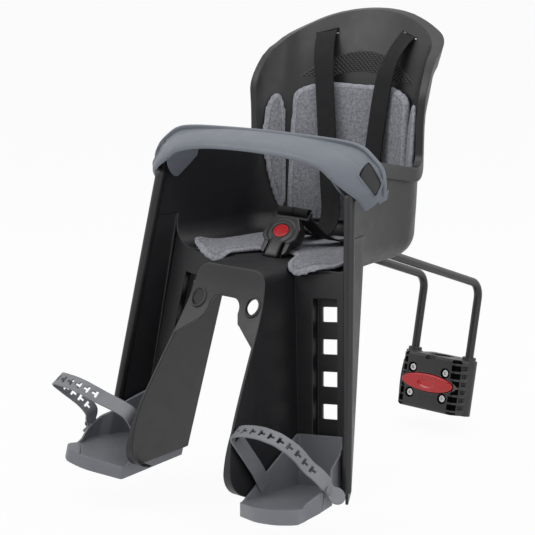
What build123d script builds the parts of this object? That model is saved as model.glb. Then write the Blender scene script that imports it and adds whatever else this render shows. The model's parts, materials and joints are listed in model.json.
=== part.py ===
"""Front child seat for a bicycle: moulded bucket with leg channels, rails and footrests, a grab bar,
a harness, a bent carrier rod and a two-part block that clamps on the frame's seat tube.
The origin is on the tube's axis at the middle of the block, +Z up, the child faces -Y."""
from build123d import *
from math import atan, cos, degrees, radians, sin, sqrt, tan
import os

# Shell: bucket
WALL = 3.5
LEG_BACK_Y = -401.4
FLOOR_Z = 247.0
FLOOR_ROUND = 34.0
TUB_HALF = 138.0
TUB_ROUND = 84.0
TUB_AHEAD = 98.6
TUB_FRONT_Y = LEG_BACK_Y - TUB_AHEAD
BACK_LINE = (
    (FLOOR_Z, -203.0),
    (300.0, -200.0),
    (400.0, -196.0),
    (458.0, -191.0),
    (520.0, -173.0),
    (570.0, -158.0),
)

# Shell: rim, seen from the side
WING_Y = -259.0
RIM_CREST = (
    (WING_Y, 462.0),
    (-239.0, 491.0),
    (-213.0, 514.0),
    (-188.0, 538.0),
    (-163.0, 551.0),
    (-130.0, 555.0),
)
ARM_FRONT_Y = -475.0
RIM_END_AHEAD = -13.4
RIM_END_Y = LEG_BACK_Y - RIM_END_AHEAD
ARM_END_Z, ARM_END_FALL_DEG = 382.0, 30.0
ARM_NOTCH_Z = 362.0
ARM_RISE_DEG = 11.0
ARM_NOTCH_ROUND = 16.0
RIM_OUT = 7.0
RIM_SKIN = 3.0
RIM_SKIRT = 18.0
SLOT_X, SLOT_Z, SLOT_WIDE, SLOT_HIGH = 66.0, 520.0, 33.0, 7.0
SLOT_IN, SLOT_TURN_DEG, SLOT_ROLL_DEG = 3.77, 2.66, 12.0
CROTCH_AHEAD = -20.4
CROTCH_Y = LEG_BACK_Y - CROTCH_AHEAD

# Shell: posts and leg channels
LEG_LEAN_DEG = 9.3
POST_FLARE_DEG = 7.1
POST_AHEAD = 39.1
POST_X, POST_Y = 165.0, LEG_BACK_Y - POST_AHEAD
POST_R_LOW, POST_R_HIGH = 5.6, 6.8
POST_LOW_Z, POST_HIGH_Z = 12.0, 346.0
LEG_LOW_Z = -5.0
LEG_JOIN_Z = 292.0
OUTER_LOW_X = 172.0
OUTER_FLARE_DEG = 4.04
SADDLE_HALF = 55.5
SADDLE_FLARE_DEG = 9.2
SADDLE_SPLAY = 0.04
SADDLE_ROUND = 20.0
TOE_AHEAD = 161.6
LEG_FRONT_LOW_Y = LEG_BACK_Y - TOE_AHEAD
SHIN_AHEAD, SHIN_Z = 136.6, 96.0
KNEE_AHEAD, KNEE_Z = 87.6, 178.0
LEG_TOE_ROUND = 32.0
POMMEL_AHEAD = 57.6
POMMEL_Y = LEG_BACK_Y - POMMEL_AHEAD
APRON_LOW_Z = 214.0
APRON_HALF = 24.0
FLAP_LOW_Z = 165.0
ARCH_ROUND, FLAP_ROUND = 13.0, 4.5
FLAP_HOLE_X, FLAP_HOLE_Z, FLAP_HOLE_R = 43.9, 208.0, 9.2

# Shell: footrest rails
RAIL_X = 101.2
RAIL_FLARE_DEG = 7.9
RAIL_WIDE = 37.0
RAIL_DEEP = 11.0
RAIL_HEAD = 10.0
WINDOW_WIDE, WINDOW_HIGH, WINDOW_PITCH, WINDOW_COUNT = 24.5, 18.2, 39.5, 5
WINDOW_TOP_Z = 206.5

# Carrier rod
ROD_R = 6.0
ROD_X = 47.5
ROD_CORNER_Z = 150.3
ROD_RISE_DEG = 19.4
ROD_FRONT_Y = -336.0
ROD_BEND_R = 24.0
ROD_FLOOR_GAP = 0.3
PLATE_LONG, PLATE_WIDE, PLATE_THICK = 64.0, 118.0, 3.0
PLATE_TOP = FLOOR_Z - ROD_FLOOR_GAP - 2 * ROD_R - 0.05
PLATE_Y = -290.0
PLATE_SCREW_X, PLATE_SCREW_Y = 26.0, 22.0
SCREW_R, SCREW_HEAD_R, SCREW_HEAD, SCREW_LONG = 2.5, 5.0, 3.5, 12.0
SCREW_FIT = 0.1
BOSS_R = 7.0

# Block on the seat tube, in its own upright frame before it is tilted
TUBE_LEAN_DEG = 12.0
TUBE_R = 15.9
LINER = 2.0
LINER_FIT = 0.05
BLOCK_LOW, BLOCK_HIGH = -40.0, 41.0
BLOCK_FACE = 29.0
BLOCK_HALF = 48.0
BLOCK_SIDE = 56.0
COLLAR_HIGH, COLLAR_STEP = 5.0, 2.5
SLEEVE_R = 12.5
SLEEVE_FLOOR = 4.0
ROD_FIT = 0.3
SPLIT_GAP = 2.0
REAR_HALF, REAR_DEEP = 34.0, 28.0
BOLT_X, BOLT_Z = 28.3, 18.7
BOLT_R, BOLT_HEAD_R, BOLT_HEAD = 3.0, 5.0, 6.0
NUT_R, NUT_HIGH = 5.6, 5.0
BUTTON_WIDE, BUTTON_HIGH = 88.0, 26.0
BUTTON_DEEP, BUTTON_PROUD, BUTTON_TRAVEL = 6.5, 2.5, 3.0
BUTTON_FIT = 0.6
RIB_COUNT, RIB_HIGH, RIB_PITCH, RIB_DEEP = 6, 6.0, 11.5, 6.0

# Grab bar: its rear and front edges from the middle to the right end, each point as a part of the half span,
# a distance behind the post's head, a height and the depth of the edge that is turned down there
BAR_HALF = 148.0
BAR_REAR = (
    (0.0, 32.0, 413.0, 8.0),
    (0.51, 32.0, 412.0, 8.0),
    (0.84, 32.0, 410.0, 8.0),
    (1.014, 30.5, 405.5, 7.5),
    (1.139, 29.0, 394.0, 7.0),
    (1.23, 28.0, 381.0, 6.0),
    (1.267, 26.0, 364.0, 5.0),
    (1.243, 30.0, 350.0, 4.6),
)
BAR_FRONT = (
    (0.0, -17.0, 397.5, 8.5),
    (0.44, -16.5, 395.0, 8.5),
    (0.757, -14.5, 385.5, 8.0),
    (0.892, -14.0, 372.5, 7.0),
    (0.993, -12.0, 362.5, 6.0),
    (1.061, -8.5, 354.5, 5.0),
    (1.122, -3.0, 345.5, 4.6),
    (1.142, 9.0, 330.0, 4.6),
)
BAR_SKIN = 3.6
BAR_STEPS = 3
CHEEK_CORNERS = ((132.0, 34.6, 371.0), (140.0, 7.6, 343.0), (112.0, -2.4, 372.0), (104.0, -5.4, 403.0))
CHEEK_THICK = 3.0
CATCH_AT, CATCH_SPREAD, CATCH_DEEP, CATCH_SUNK, CATCH_ARM = 5.3, 6.0, 15.0, 3.5, 8.5
CATCH_CORNERS = ((-14.0, -20.5), (-12.0, 6.4), (0.8, 14.0), (1.5, -14.0))
BAR_WINDOW_FIT = 0.8

# Footrests, in the rail's frame
TRAY_GAP = 0.4
TRAY_WALL = 3.2
TRAY_FLOOR_Y, TRAY_FLOOR, TRAY_LOW_Y = -16.0, 4.0, -33.0
TRAY_BACK_Y = 56.0
TRAY_CORNERS = (
    (-39.2, TRAY_GAP, 0.0),
    (33.0, TRAY_GAP, 4.0),
    (47.0, 30.0, 20.0),
    (50.0, 50.0, 8.0),
    (58.0, 62.0, 8.0),
    (58.0, 84.0, 8.0),
    (50.0, 100.0, 10.0),
    (51.0, 122.0, 14.0),
    (34.0, 135.0, 22.0),
    (4.0, 135.0, 60.0),
    (-42.5, 110.0, 6.0),
)
TONGUE_FIT = 0.5
TONGUE_LOW, TONGUE_HIGH = -20.0, 50.0
FOOT_STRAP_WIDE, FOOT_STRAP = 16.0, 3.0
FOOT_STRAP_IN, FOOT_STRAP_OUT, FOOT_STRAP_TIP = (-36.2, 2.0, 72.0), (61.4, 2.0, 72.0), (11.6, 78.0, 176.0)
FOOT_STRAP_REACH, FOOT_STRAP_FOLD, FOOT_STRAP_BOW = 122.0, -12.0, 8.5
STUD_R, STUD_HEAD_R, STUD_HEAD = 2.5, 5.0, 2.0

# Cushions
PAD_THICK, SEAT_PAD_THICK = 8.0, 6.0
PAD_GAP = 0.3
BACK_PAD_HALF, BACK_PAD_TOP, BACK_PAD_LOW = 96.0, 458.0, 288.0
SIDE_PAD_IN, SIDE_PAD_OUT, SIDE_PAD_TOP, SIDE_PAD_LOW = 101.0, 140.0, 441.0, 300.0
SIDE_PAD_FRONT = -252.0
SEAT_PAD_BACK = (
    (40.0, -244.0),
    (66.0, -252.0),
    (88.0, -268.0),
    (99.0, -295.0),
)
SEAT_PAD_FRONT = ((101.0, -81.4), (108.0, -41.4), (115.0, -3.4), (72.0, 1.6), (47.0, -6.4), (31.0, -35.4))

# Harness
WEB_WIDE, WEB_THICK = 28.0, 1.6
BUCKLE_AHEAD = -36.4
BUCKLE_Y, BUCKLE_Z, BUCKLE_LEAN_DEG = LEG_BACK_Y - BUCKLE_AHEAD, 281.0, 38.0
BUCKLE_WIDE, BUCKLE_LOW, BUCKLE_HIGH, BUCKLE_DEEP = 56.0, -16.0, 22.0, 14.0
BUCKLE_WEB, BUCKLE_NECK = 9.5, 17.0
BUCKLE_BUTTON_A, BUCKLE_BUTTON_B = 12.0, 9.0
BUCKLE_BUTTON_DEEP, BUCKLE_BUTTON_PROUD, BUCKLE_TRAVEL = 6.0, 1.5, 2.5
LOOP_HIGH, LOOP_SIDE, STRAP_FIT = 14.0, 3.0, 0.6
SLIDE_WIDE, SLIDE_HIGH, SLIDE_THICK, SLIDE_FIT, SLIDE_OUT = 44.0, 18.0, 4.0, 0.5, 13.0
STRAP_PATH = (
    (56.0, -204.0, 490.0),
    (49.0, -214.0, 458.0),
    (38.0, -222.0, 392.0),
    (28.0, -227.0, 320.0),
    (18.0, -242.0, 280.0),
    (15.3, -275.0, 266.0),
    (14.5, -312.0, 276.0),
)

# Output
NODES = {}


def add(name, *solids):
    """Keeps one node: its solids go into one file of that name."""
    found = [solid for item in solids for solid in item.solids()]
    NODES[name] = found[0] if len(found) == 1 else Compound(children=found)


def both(right):
    """A piece and its mirror image across the middle plane."""
    return [right, mirror(right, about=Plane.YZ)]


def slope(degrees_):
    return tan(radians(degrees_))


def from_side(face, half=300.0):
    """A side-view outline, drawn as (y, z), made solid across the whole width."""
    return extrude(Plane.YZ * face, half, both=True)


def post_axis(z):
    drop = FLOOR_Z - z
    return POST_X + drop * slope(POST_FLARE_DEG), POST_Y - drop * slope(LEG_LEAN_DEG)


def leg_back(z):
    return LEG_BACK_Y - (FLOOR_Z - z) * slope(LEG_LEAN_DEG)


def leg_front(z):
    return leg_back(z) - WALL * (1 + slope(LEG_LEAN_DEG) ** 2) ** 0.5


def saddle_half(y, z):
    drop = FLOOR_Z - z
    return SADDLE_HALF + drop * slope(SADDLE_FLARE_DEG) - SADDLE_SPLAY * (leg_back(z) - y)


def wall_bow(y, z, back):
    """How far the bucket's side wall has swung out from its half width at one point."""
    shoulder = back - TUB_ROUND
    post_x, post_y = post_axis(z)
    out = post_x + WALL / 2 - TUB_HALF
    return out * ((shoulder - y) / (shoulder - post_y)) ** 2


def tub_section(z, back, grow):
    """Plan outline of the bucket: an elliptical back and side walls that swing out to the posts."""
    shoulder = back - TUB_ROUND
    half = TUB_HALF + grow
    front_x = half + wall_bow(TUB_FRONT_Y, z, back)
    with BuildSketch(Plane.XY.offset(z)) as outline:
        with BuildLine():
            EllipticalCenterArc((0, shoulder), half, TUB_ROUND + grow, start_angle=0, arc_size=180)
            TangentArc((-half, shoulder), (-front_x, TUB_FRONT_Y), tangent=(0, -1))
            Line((-front_x, TUB_FRONT_Y), (front_x, TUB_FRONT_Y))
            TangentArc((half, shoulder), (front_x, TUB_FRONT_Y), tangent=(0, -1))
        make_face()
    return outline.sketch


def tub_volume(grow):
    """The bucket's volume, grown outward by grow, with a rounded edge round its floor."""
    floor = FLOOR_Z - min(grow, 0)
    heights = [floor] + [z for z, _ in BACK_LINE[1:]]
    volume = loft([tub_section(z, back, grow) for z, (_, back) in zip(heights, BACK_LINE)])
    low = [edge for edge in volume.edges() if abs(edge.center().Z - floor) < 0.01]
    round_edges = [edge for edge in low if edge.center().Y > TUB_FRONT_Y + 1]
    return fillet(round_edges, FLOOR_ROUND + grow)


def rim_outline(inset=0.0):
    """Side view of everything below and behind the rim, with the rim moved in by inset."""
    spots = [Vector(y, z) for y, z in RIM_CREST]
    steps = [Vector(0, 1)]
    steps += [(after - before).normalized() for before, after in zip(spots, spots[2:])]
    steps += [Vector(1, 0)]
    crest = [spot + Vector(step.Y, -step.X) * inset for spot, step in zip(spots, steps)]
    drop = inset * (1 + slope(ARM_RISE_DEG) ** 2) ** 0.5
    arm_front_z = ARM_NOTCH_Z + (WING_Y - ARM_FRONT_Y) * slope(ARM_RISE_DEG) - drop
    notch = (WING_Y + inset, ARM_NOTCH_Z - inset * slope(ARM_RISE_DEG) - drop)
    with BuildSketch() as region:
        with BuildLine():
            Spline(*[(spot.X, spot.Y) for spot in crest], tangents=((0, 1), (1, 0)))
            Polyline(
                (crest[-1].X, crest[-1].Y),
                (-90.0, crest[-1].Y),
                (-90.0, -80.0),
                (ARM_FRONT_Y, -80.0),
                (ARM_FRONT_Y, arm_front_z),
                notch,
                (crest[0].X, crest[0].Y),
            )
        make_face()
        fillet(region.vertices().sort_by_distance(notch)[0], ARM_NOTCH_ROUND + inset)
    return region.sketch


def make_bucket(outer, inner):
    """Bucket walls and floor, with the rolled rim along the wings and armrests."""
    edge = from_side(rim_outline())
    under_bar = slab((-300, 300), (TUB_FRONT_Y - 100, RIM_END_Y), (-100, 700))
    flange = (tub_volume(RIM_OUT) - outer) & (edge - from_side(rim_outline(RIM_SKIRT)))
    hollow = tub_volume(RIM_OUT - RIM_SKIN) - slab((-300, 300), (-700, 0), (-100, FLOOR_Z + 20))
    hollow = hollow & from_side(rim_outline(RIM_SKIN))
    flange = flange - hollow - under_bar
    walls = (outer - inner) & edge
    front_cut = Polygon(
        (leg_front(LEG_JOIN_Z), LEG_JOIN_Z),
        (TUB_FRONT_Y - 100, LEG_JOIN_Z),
        (TUB_FRONT_Y - 100, 0),
        (leg_front(0), 0),
        align=None,
    )
    past_post = Polygon(
        (post_axis(LEG_LOW_Z)[1], LEG_LOW_Z),
        (post_axis(450)[1], 450),
        (TUB_FRONT_Y - 100, 450),
        (TUB_FRONT_Y - 100, LEG_LOW_Z),
        align=None,
    )
    front_y = TUB_FRONT_Y - 100
    bar_room = Polygon(
        (RIM_END_Y - 1, ARM_END_Z),
        (front_y, ARM_END_Z + (front_y - RIM_END_Y) * slope(ARM_END_FALL_DEG)),
        (front_y, 700),
        (RIM_END_Y - 1, 700),
        align=None,
    )
    return walls + flange - from_side(front_cut) - from_side(past_post) - from_side(bar_room)


def saddle_volume(grow):
    """The wedge of space between the two legs, grown outward by grow."""
    top = FLOOR_Z + WALL + grow
    low, rear, front = -20.0, -370.0 - grow, -620.0 + grow
    faces = []
    for z in (low, top):
        rear_half = saddle_half(rear, z) + grow
        front_half = saddle_half(front, z) + grow
        corners = ((rear_half, rear), (-rear_half, rear), (-front_half, front), (front_half, front))
        faces.append(Pos(0, 0, z) * Polygon(*corners, align=None))
    volume = loft(faces, ruled=True)
    ridges = [edge for edge in volume.edges() if edge.center().Z > top - 0.01 and abs(edge.center().X) > 1]
    return fillet(ridges, SADDLE_ROUND + grow)


def leg_outline(inset=0.0):
    """Side view of the legs' inner walls and the pommel, with the front edge moved back by inset."""
    top = FLOOR_Z + WALL
    toe_y = LEG_FRONT_LOW_Y + inset
    toe_z = LEG_LOW_Z + LEG_TOE_ROUND
    with BuildSketch() as region:
        with BuildLine():
            Spline(
                (toe_y, toe_z),
                (LEG_BACK_Y - SHIN_AHEAD + inset, SHIN_Z),
                (LEG_BACK_Y - KNEE_AHEAD + inset, KNEE_Z),
                (POMMEL_Y + inset, top),
                tangents=((0.1, 1), (0.2, 1)),
            )
            RadiusArc((toe_y, toe_z), (toe_y + LEG_TOE_ROUND, LEG_LOW_Z), -LEG_TOE_ROUND)
            Polyline(
                (toe_y + LEG_TOE_ROUND, LEG_LOW_Z),
                (leg_back(LEG_LOW_Z), LEG_LOW_Z),
                (leg_back(top), top),
                (POMMEL_Y + inset, top),
            )
        make_face()
    return region.sketch


def make_saddle():
    """Inner walls of both legs, the pommel's top and its leaning front face with the two flaps."""
    full = saddle_volume(0)
    skin = (full - saddle_volume(-WALL)) & from_side(leg_outline())
    face = full & from_side(leg_outline() - leg_outline(WALL))
    with BuildSketch() as arch:
        with BuildLine():
            Polyline(
                (-75.0, -10.0),
                (-75.0, FLAP_LOW_Z - 9),
                (-45.0, FLAP_LOW_Z + 11),
                (-APRON_HALF - 5, FLAP_LOW_Z + 22),
                (-APRON_HALF, FLAP_LOW_Z + 32),
                (-APRON_HALF, APRON_LOW_Z),
                (APRON_HALF, APRON_LOW_Z),
                (APRON_HALF, FLAP_LOW_Z + 32),
                (APRON_HALF + 5, FLAP_LOW_Z + 22),
                (45.0, FLAP_LOW_Z + 11),
                (75.0, FLAP_LOW_Z - 9),
                (75.0, -10.0),
                (-75.0, -10.0),
            )
        make_face()
        fillet([v for v in arch.vertices() if v.Y > APRON_LOW_Z - 1], ARCH_ROUND)
        fillet([v for v in arch.vertices() if FLAP_LOW_Z + 15 < v.Y < FLAP_LOW_Z + 33], FLAP_ROUND)
        for side in (-1, 1):
            with Locations((side * FLAP_HOLE_X, FLAP_HOLE_Z)):
                Circle(FLAP_HOLE_R)
    cut = Pos(0, POMMEL_Y - 61, 0) * extrude(Plane.XZ * arch.sketch, 110, both=True)
    return skin + (face - cut)


def outer_edge(z):
    return OUTER_LOW_X - (z - LEG_LOW_Z) * slope(OUTER_FLARE_DEG), leg_back(z)


def rail_frame(z=0.0):
    """Frame of the right rail at one height: x out, y up along the rail, z forward from the back wall."""
    drop = FLOOR_Z - z
    up = Vector(-slope(RAIL_FLARE_DEG), slope(LEG_LEAN_DEG), 1).normalized()
    forward = Vector(0, -1, slope(LEG_LEAN_DEG)).normalized()
    origin = (RAIL_X + drop * slope(RAIL_FLARE_DEG), leg_front(z), z)
    return Plane(origin=origin, x_dir=up.cross(forward), z_dir=forward)


def along_rail(z):
    """Distance along the rail from height 0 up to height z."""
    return z * Vector(-slope(RAIL_FLARE_DEG), slope(LEG_LEAN_DEG), 1).length


def slab(x_range, y_range, z_range):
    """A box given by its ends along each axis."""
    sizes = [high - low for low, high in (x_range, y_range, z_range)]
    middle = [(high + low) / 2 for low, high in (x_range, y_range, z_range)]
    return Pos(*middle) * Box(*sizes)


def make_leg(outer):
    """Right leg channel outside the saddle: leaning back wall, outer sheet, post and rail."""
    lean = Polygon(
        (leg_back(LEG_LOW_Z), LEG_LOW_Z),
        (leg_back(LEG_JOIN_Z), LEG_JOIN_Z),
        (leg_front(LEG_JOIN_Z), LEG_JOIN_Z),
        (leg_front(LEG_LOW_Z), LEG_LOW_Z),
        align=None,
    )
    spread = Polygon(
        (SADDLE_HALF - 15, LEG_JOIN_Z + 20),
        (outer_edge(LEG_JOIN_Z + 20)[0], LEG_JOIN_Z + 20),
        (outer_edge(LEG_LOW_Z - 20)[0], LEG_LOW_Z - 20),
        (SADDLE_HALF - 15, LEG_LOW_Z - 20),
        align=None,
    )
    plate = from_side(lean) & extrude(Plane.XZ * spread, 700, both=True)
    plate = plate - saddle_volume(-0.5) - outer
    edges = []
    for z in (LEG_LOW_Z, LEG_JOIN_Z + 6):
        rear = Vector(*outer_edge(z))
        axis = Vector(*post_axis(z))
        side = (axis - rear).normalized().rotate(Axis.Z, 90) * (WALL / 2)
        corners = [rear + side, rear - side, axis - side, axis + side]
        edges.append(Pos(0, 0, z) * Polygon(*[(p.X, p.Y) for p in corners], align=None))
    sheet = loft(edges, ruled=True)
    foot = Vector(*post_axis(POST_LOW_Z), POST_LOW_Z)
    head = Vector(*post_axis(POST_HIGH_Z), POST_HIGH_Z)
    middle = Plane(origin=(foot + head) * 0.5, z_dir=head - foot)
    post = middle * Cone(POST_R_LOW, POST_R_HIGH, (head - foot).length)
    post = post + Pos(*foot) * Sphere(POST_R_LOW) + Pos(*head) * Sphere(POST_R_HIGH)
    post = post + make_catch()
    half = RAIL_WIDE / 2
    low = along_rail(LEG_LOW_Z)
    top = along_rail(WINDOW_TOP_Z) + RAIL_HEAD
    box = slab((-half - WALL, half + WALL), (low, top + WALL), (-RAIL_DEEP - WALL, -WALL / 2))
    recess = slab((-half, half), (low - 30, top), (-RAIL_DEEP, 20))
    windows = [
        Pos(0, along_rail(WINDOW_TOP_Z) - WINDOW_HIGH / 2 - step * WINDOW_PITCH, -RAIL_DEEP)
        * Box(WINDOW_WIDE, WINDOW_HIGH, 4 * WALL)
        for step in range(WINDOW_COUNT)
    ]
    below = slab((-400, 400), (-700, -200), (-100, LEG_LOW_Z))
    rail = rail_frame()
    leg = plate + sheet + (rail * box - below) + post
    leg = leg - rail * recess
    for window in windows:
        leg = leg - rail * window
    return leg


def bar_spot(line, at):
    """A point on one of the bar's edges and the depth turned down there, on a smooth curve."""
    low = min(max(int(at), 0), len(line) - 2)
    after = line[low + 2] if low + 2 < len(line) else line[-1]
    before = line[low - 1] if low else (-line[1][0], *line[1][1:])
    t = at - low
    mixed = []
    for p0, p1, p2, p3 in zip(before, line[low], line[low + 1], after):
        bend = (2 * p0 - 5 * p1 + 4 * p2 - p3) * t**2 + (3 * p1 - p0 - 3 * p2 + p3) * t**3
        mixed.append(p1 + ((p2 - p0) * t + bend) / 2)
    part, behind, z, turned = mixed
    return Vector(part * BAR_HALF, post_axis(POST_HIGH_Z)[1] + behind, z), turned


def bar_frame(at):
    """Frame of the bar at one place: origin on its rear edge, x to its front edge, y out of its top face."""
    rear, front = bar_spot(BAR_REAR, at)[0], bar_spot(BAR_FRONT, at)[0]
    reach = front - rear
    start, end = max(at - 0.2, 0), min(at + 0.2, len(BAR_REAR) - 1)
    along = bar_spot(BAR_REAR, end)[0] + bar_spot(BAR_FRONT, end)[0]
    along = along - bar_spot(BAR_REAR, start)[0] - bar_spot(BAR_FRONT, start)[0]
    if at == 0:
        along = Vector(1, 0, 0)
    along = along - reach * (along.dot(reach) / reach.dot(reach))
    return Plane(origin=rear, x_dir=reach, z_dir=along * -1), reach.length


def bar_section(at):
    """One section of the bar: a thin top face with its front and rear edges turned down, open below."""
    frame, wide = bar_frame(at)
    lip, roll = bar_spot(BAR_REAR, at)[1], bar_spot(BAR_FRONT, at)[1]
    corners = (
        (0, -lip),
        (0, 0),
        (wide, 0),
        (wide, -roll),
        (wide - BAR_SKIN, -roll),
        (wide - BAR_SKIN, -BAR_SKIN),
        (BAR_SKIN, -BAR_SKIN),
        (BAR_SKIN, -lip),
    )
    return frame * Polygon(*corners, align=None)


def catch_frame():
    """Frame of the flat at the bar's right end: x to the front edge, y down along the bar, z out of it."""
    frame, wide = bar_frame(CATCH_AT)
    middle = frame.from_local_coords(Vector(wide / 2, 0, 0))
    return Plane(origin=middle, x_dir=frame.x_dir, z_dir=frame.y_dir)


def catch_outline(grow):
    outline = Polygon(*CATCH_CORNERS, align=None)
    return offset(outline, grow, kind=Kind.INTERSECTION) if grow else outline


def make_catch():
    """Right catch: it fills the bar's window and reaches down to the post's head."""
    frame = catch_frame()
    head = frame.to_local_coords(Vector(*post_axis(POST_HIGH_Z), POST_HIGH_Z))
    plug = Pos(0, 0, -CATCH_DEEP) * extrude(catch_outline(0), CATCH_DEEP - CATCH_SUNK)
    arm = slab(
        (-8.0, head.X),
        (head.Y - CATCH_SPREAD, head.Y + CATCH_SPREAD),
        (-CATCH_DEEP, -CATCH_ARM),
    )
    return frame * (plug + arm)


def make_shell():
    outer = tub_volume(0)
    inner = tub_volume(-WALL)
    leg = make_leg(outer)
    shell = make_bucket(outer, inner) + make_saddle()
    for side in both(leg):
        shell = shell + side
    strap_slot = slot_frame() * Box(SLOT_WIDE, 60, SLOT_HIGH)
    crotch_slot = Pos(0, CROTCH_Y, FLOOR_Z) * Box(SLOT_WIDE, SLOT_HIGH, 20)
    for side in both(strap_slot):
        shell = shell - side
    shell = shell - crotch_slot
    boss_high = FLOOR_Z + WALL / 2 - PLATE_TOP
    for x in (-PLATE_SCREW_X, PLATE_SCREW_X):
        for y in (PLATE_Y - PLATE_SCREW_Y, PLATE_Y + PLATE_SCREW_Y):
            shell += Pos(x, y, PLATE_TOP + boss_high / 2) * Cylinder(BOSS_R, boss_high)
            shell -= Pos(x, y, PLATE_TOP + 5) * Cylinder(SCREW_R + SCREW_FIT, 10 + SCREW_FIT)
    return shell


def make_rod():
    """The bent rod: both lower ends stand in the block, the bridge carries the pan."""
    up = slope(TUBE_LEAN_DEG)
    low_z = (BLOCK_LOW + SLEEVE_FLOOR + 2) / (1 + up**2) ** 0.5
    run_z = FLOOR_Z - ROD_FLOOR_GAP - ROD_R
    knee_y = ROD_CORNER_Z * up - (run_z - ROD_CORNER_Z) / slope(ROD_RISE_DEG)
    right = [
        (ROD_X, low_z * up, low_z),
        (ROD_X, ROD_CORNER_Z * up, ROD_CORNER_Z),
        (ROD_X, knee_y, run_z),
        (ROD_X, ROD_FRONT_Y, run_z),
    ]
    left = [(-x, y, z) for x, y, z in reversed(right)]
    with BuildPart() as rod:
        with BuildLine() as path:
            FilletPolyline(*right, *left, radius=ROD_BEND_R)
        with BuildSketch(Plane(origin=path.line @ 0, z_dir=path.line % 0)):
            Circle(ROD_R)
        sweep()
    return rod.part


def make_plate():
    plate = Pos(0, PLATE_Y, PLATE_TOP - PLATE_THICK / 2) * Box(PLATE_WIDE, PLATE_LONG, PLATE_THICK)
    plate = fillet(plate.edges().filter_by(Axis.Z), 8)
    screw = Pos(0, 0, PLATE_TOP - PLATE_THICK - SCREW_HEAD / 2) * Cylinder(SCREW_HEAD_R, SCREW_HEAD)
    shank_low = PLATE_TOP - PLATE_THICK
    screw += Pos(0, 0, shank_low + SCREW_LONG / 2 - 0.5) * Cylinder(SCREW_R, SCREW_LONG - 1)
    screw -= Pos(0, 0, shank_low - SCREW_HEAD) * extrude(RegularPolygon(2.3, 6), 2, both=True)
    screws = []
    for x in (-PLATE_SCREW_X, PLATE_SCREW_X):
        for y in (PLATE_Y - PLATE_SCREW_Y, PLATE_Y + PLATE_SCREW_Y):
            plate -= Pos(x, y, PLATE_TOP) * Cylinder(SCREW_R + ROD_FIT, 4 * PLATE_THICK)
            screws.append(Pos(x, y, 0) * screw)
    return plate, screws


def block_bolts():
    """Where the four clamp bolts run, as (x, z) in the block's frame."""
    return [(x, z) for x in (-BOLT_X, BOLT_X) for z in (-BOLT_Z, BOLT_Z)]


def along_y(x, z, radius, y_from, y_to):
    return Pos(x, (y_from + y_to) / 2, z) * Rotation(90, 0, 0) * Cylinder(radius, y_to - y_from)


def button_prism(wide, high, y_from, y_to):
    start = Plane(origin=(0, y_from, 0), x_dir=(1, 0, 0), z_dir=(0, 1, 0))
    return extrude(start * Ellipse(wide / 2, high / 2), y_to - y_from)


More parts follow.
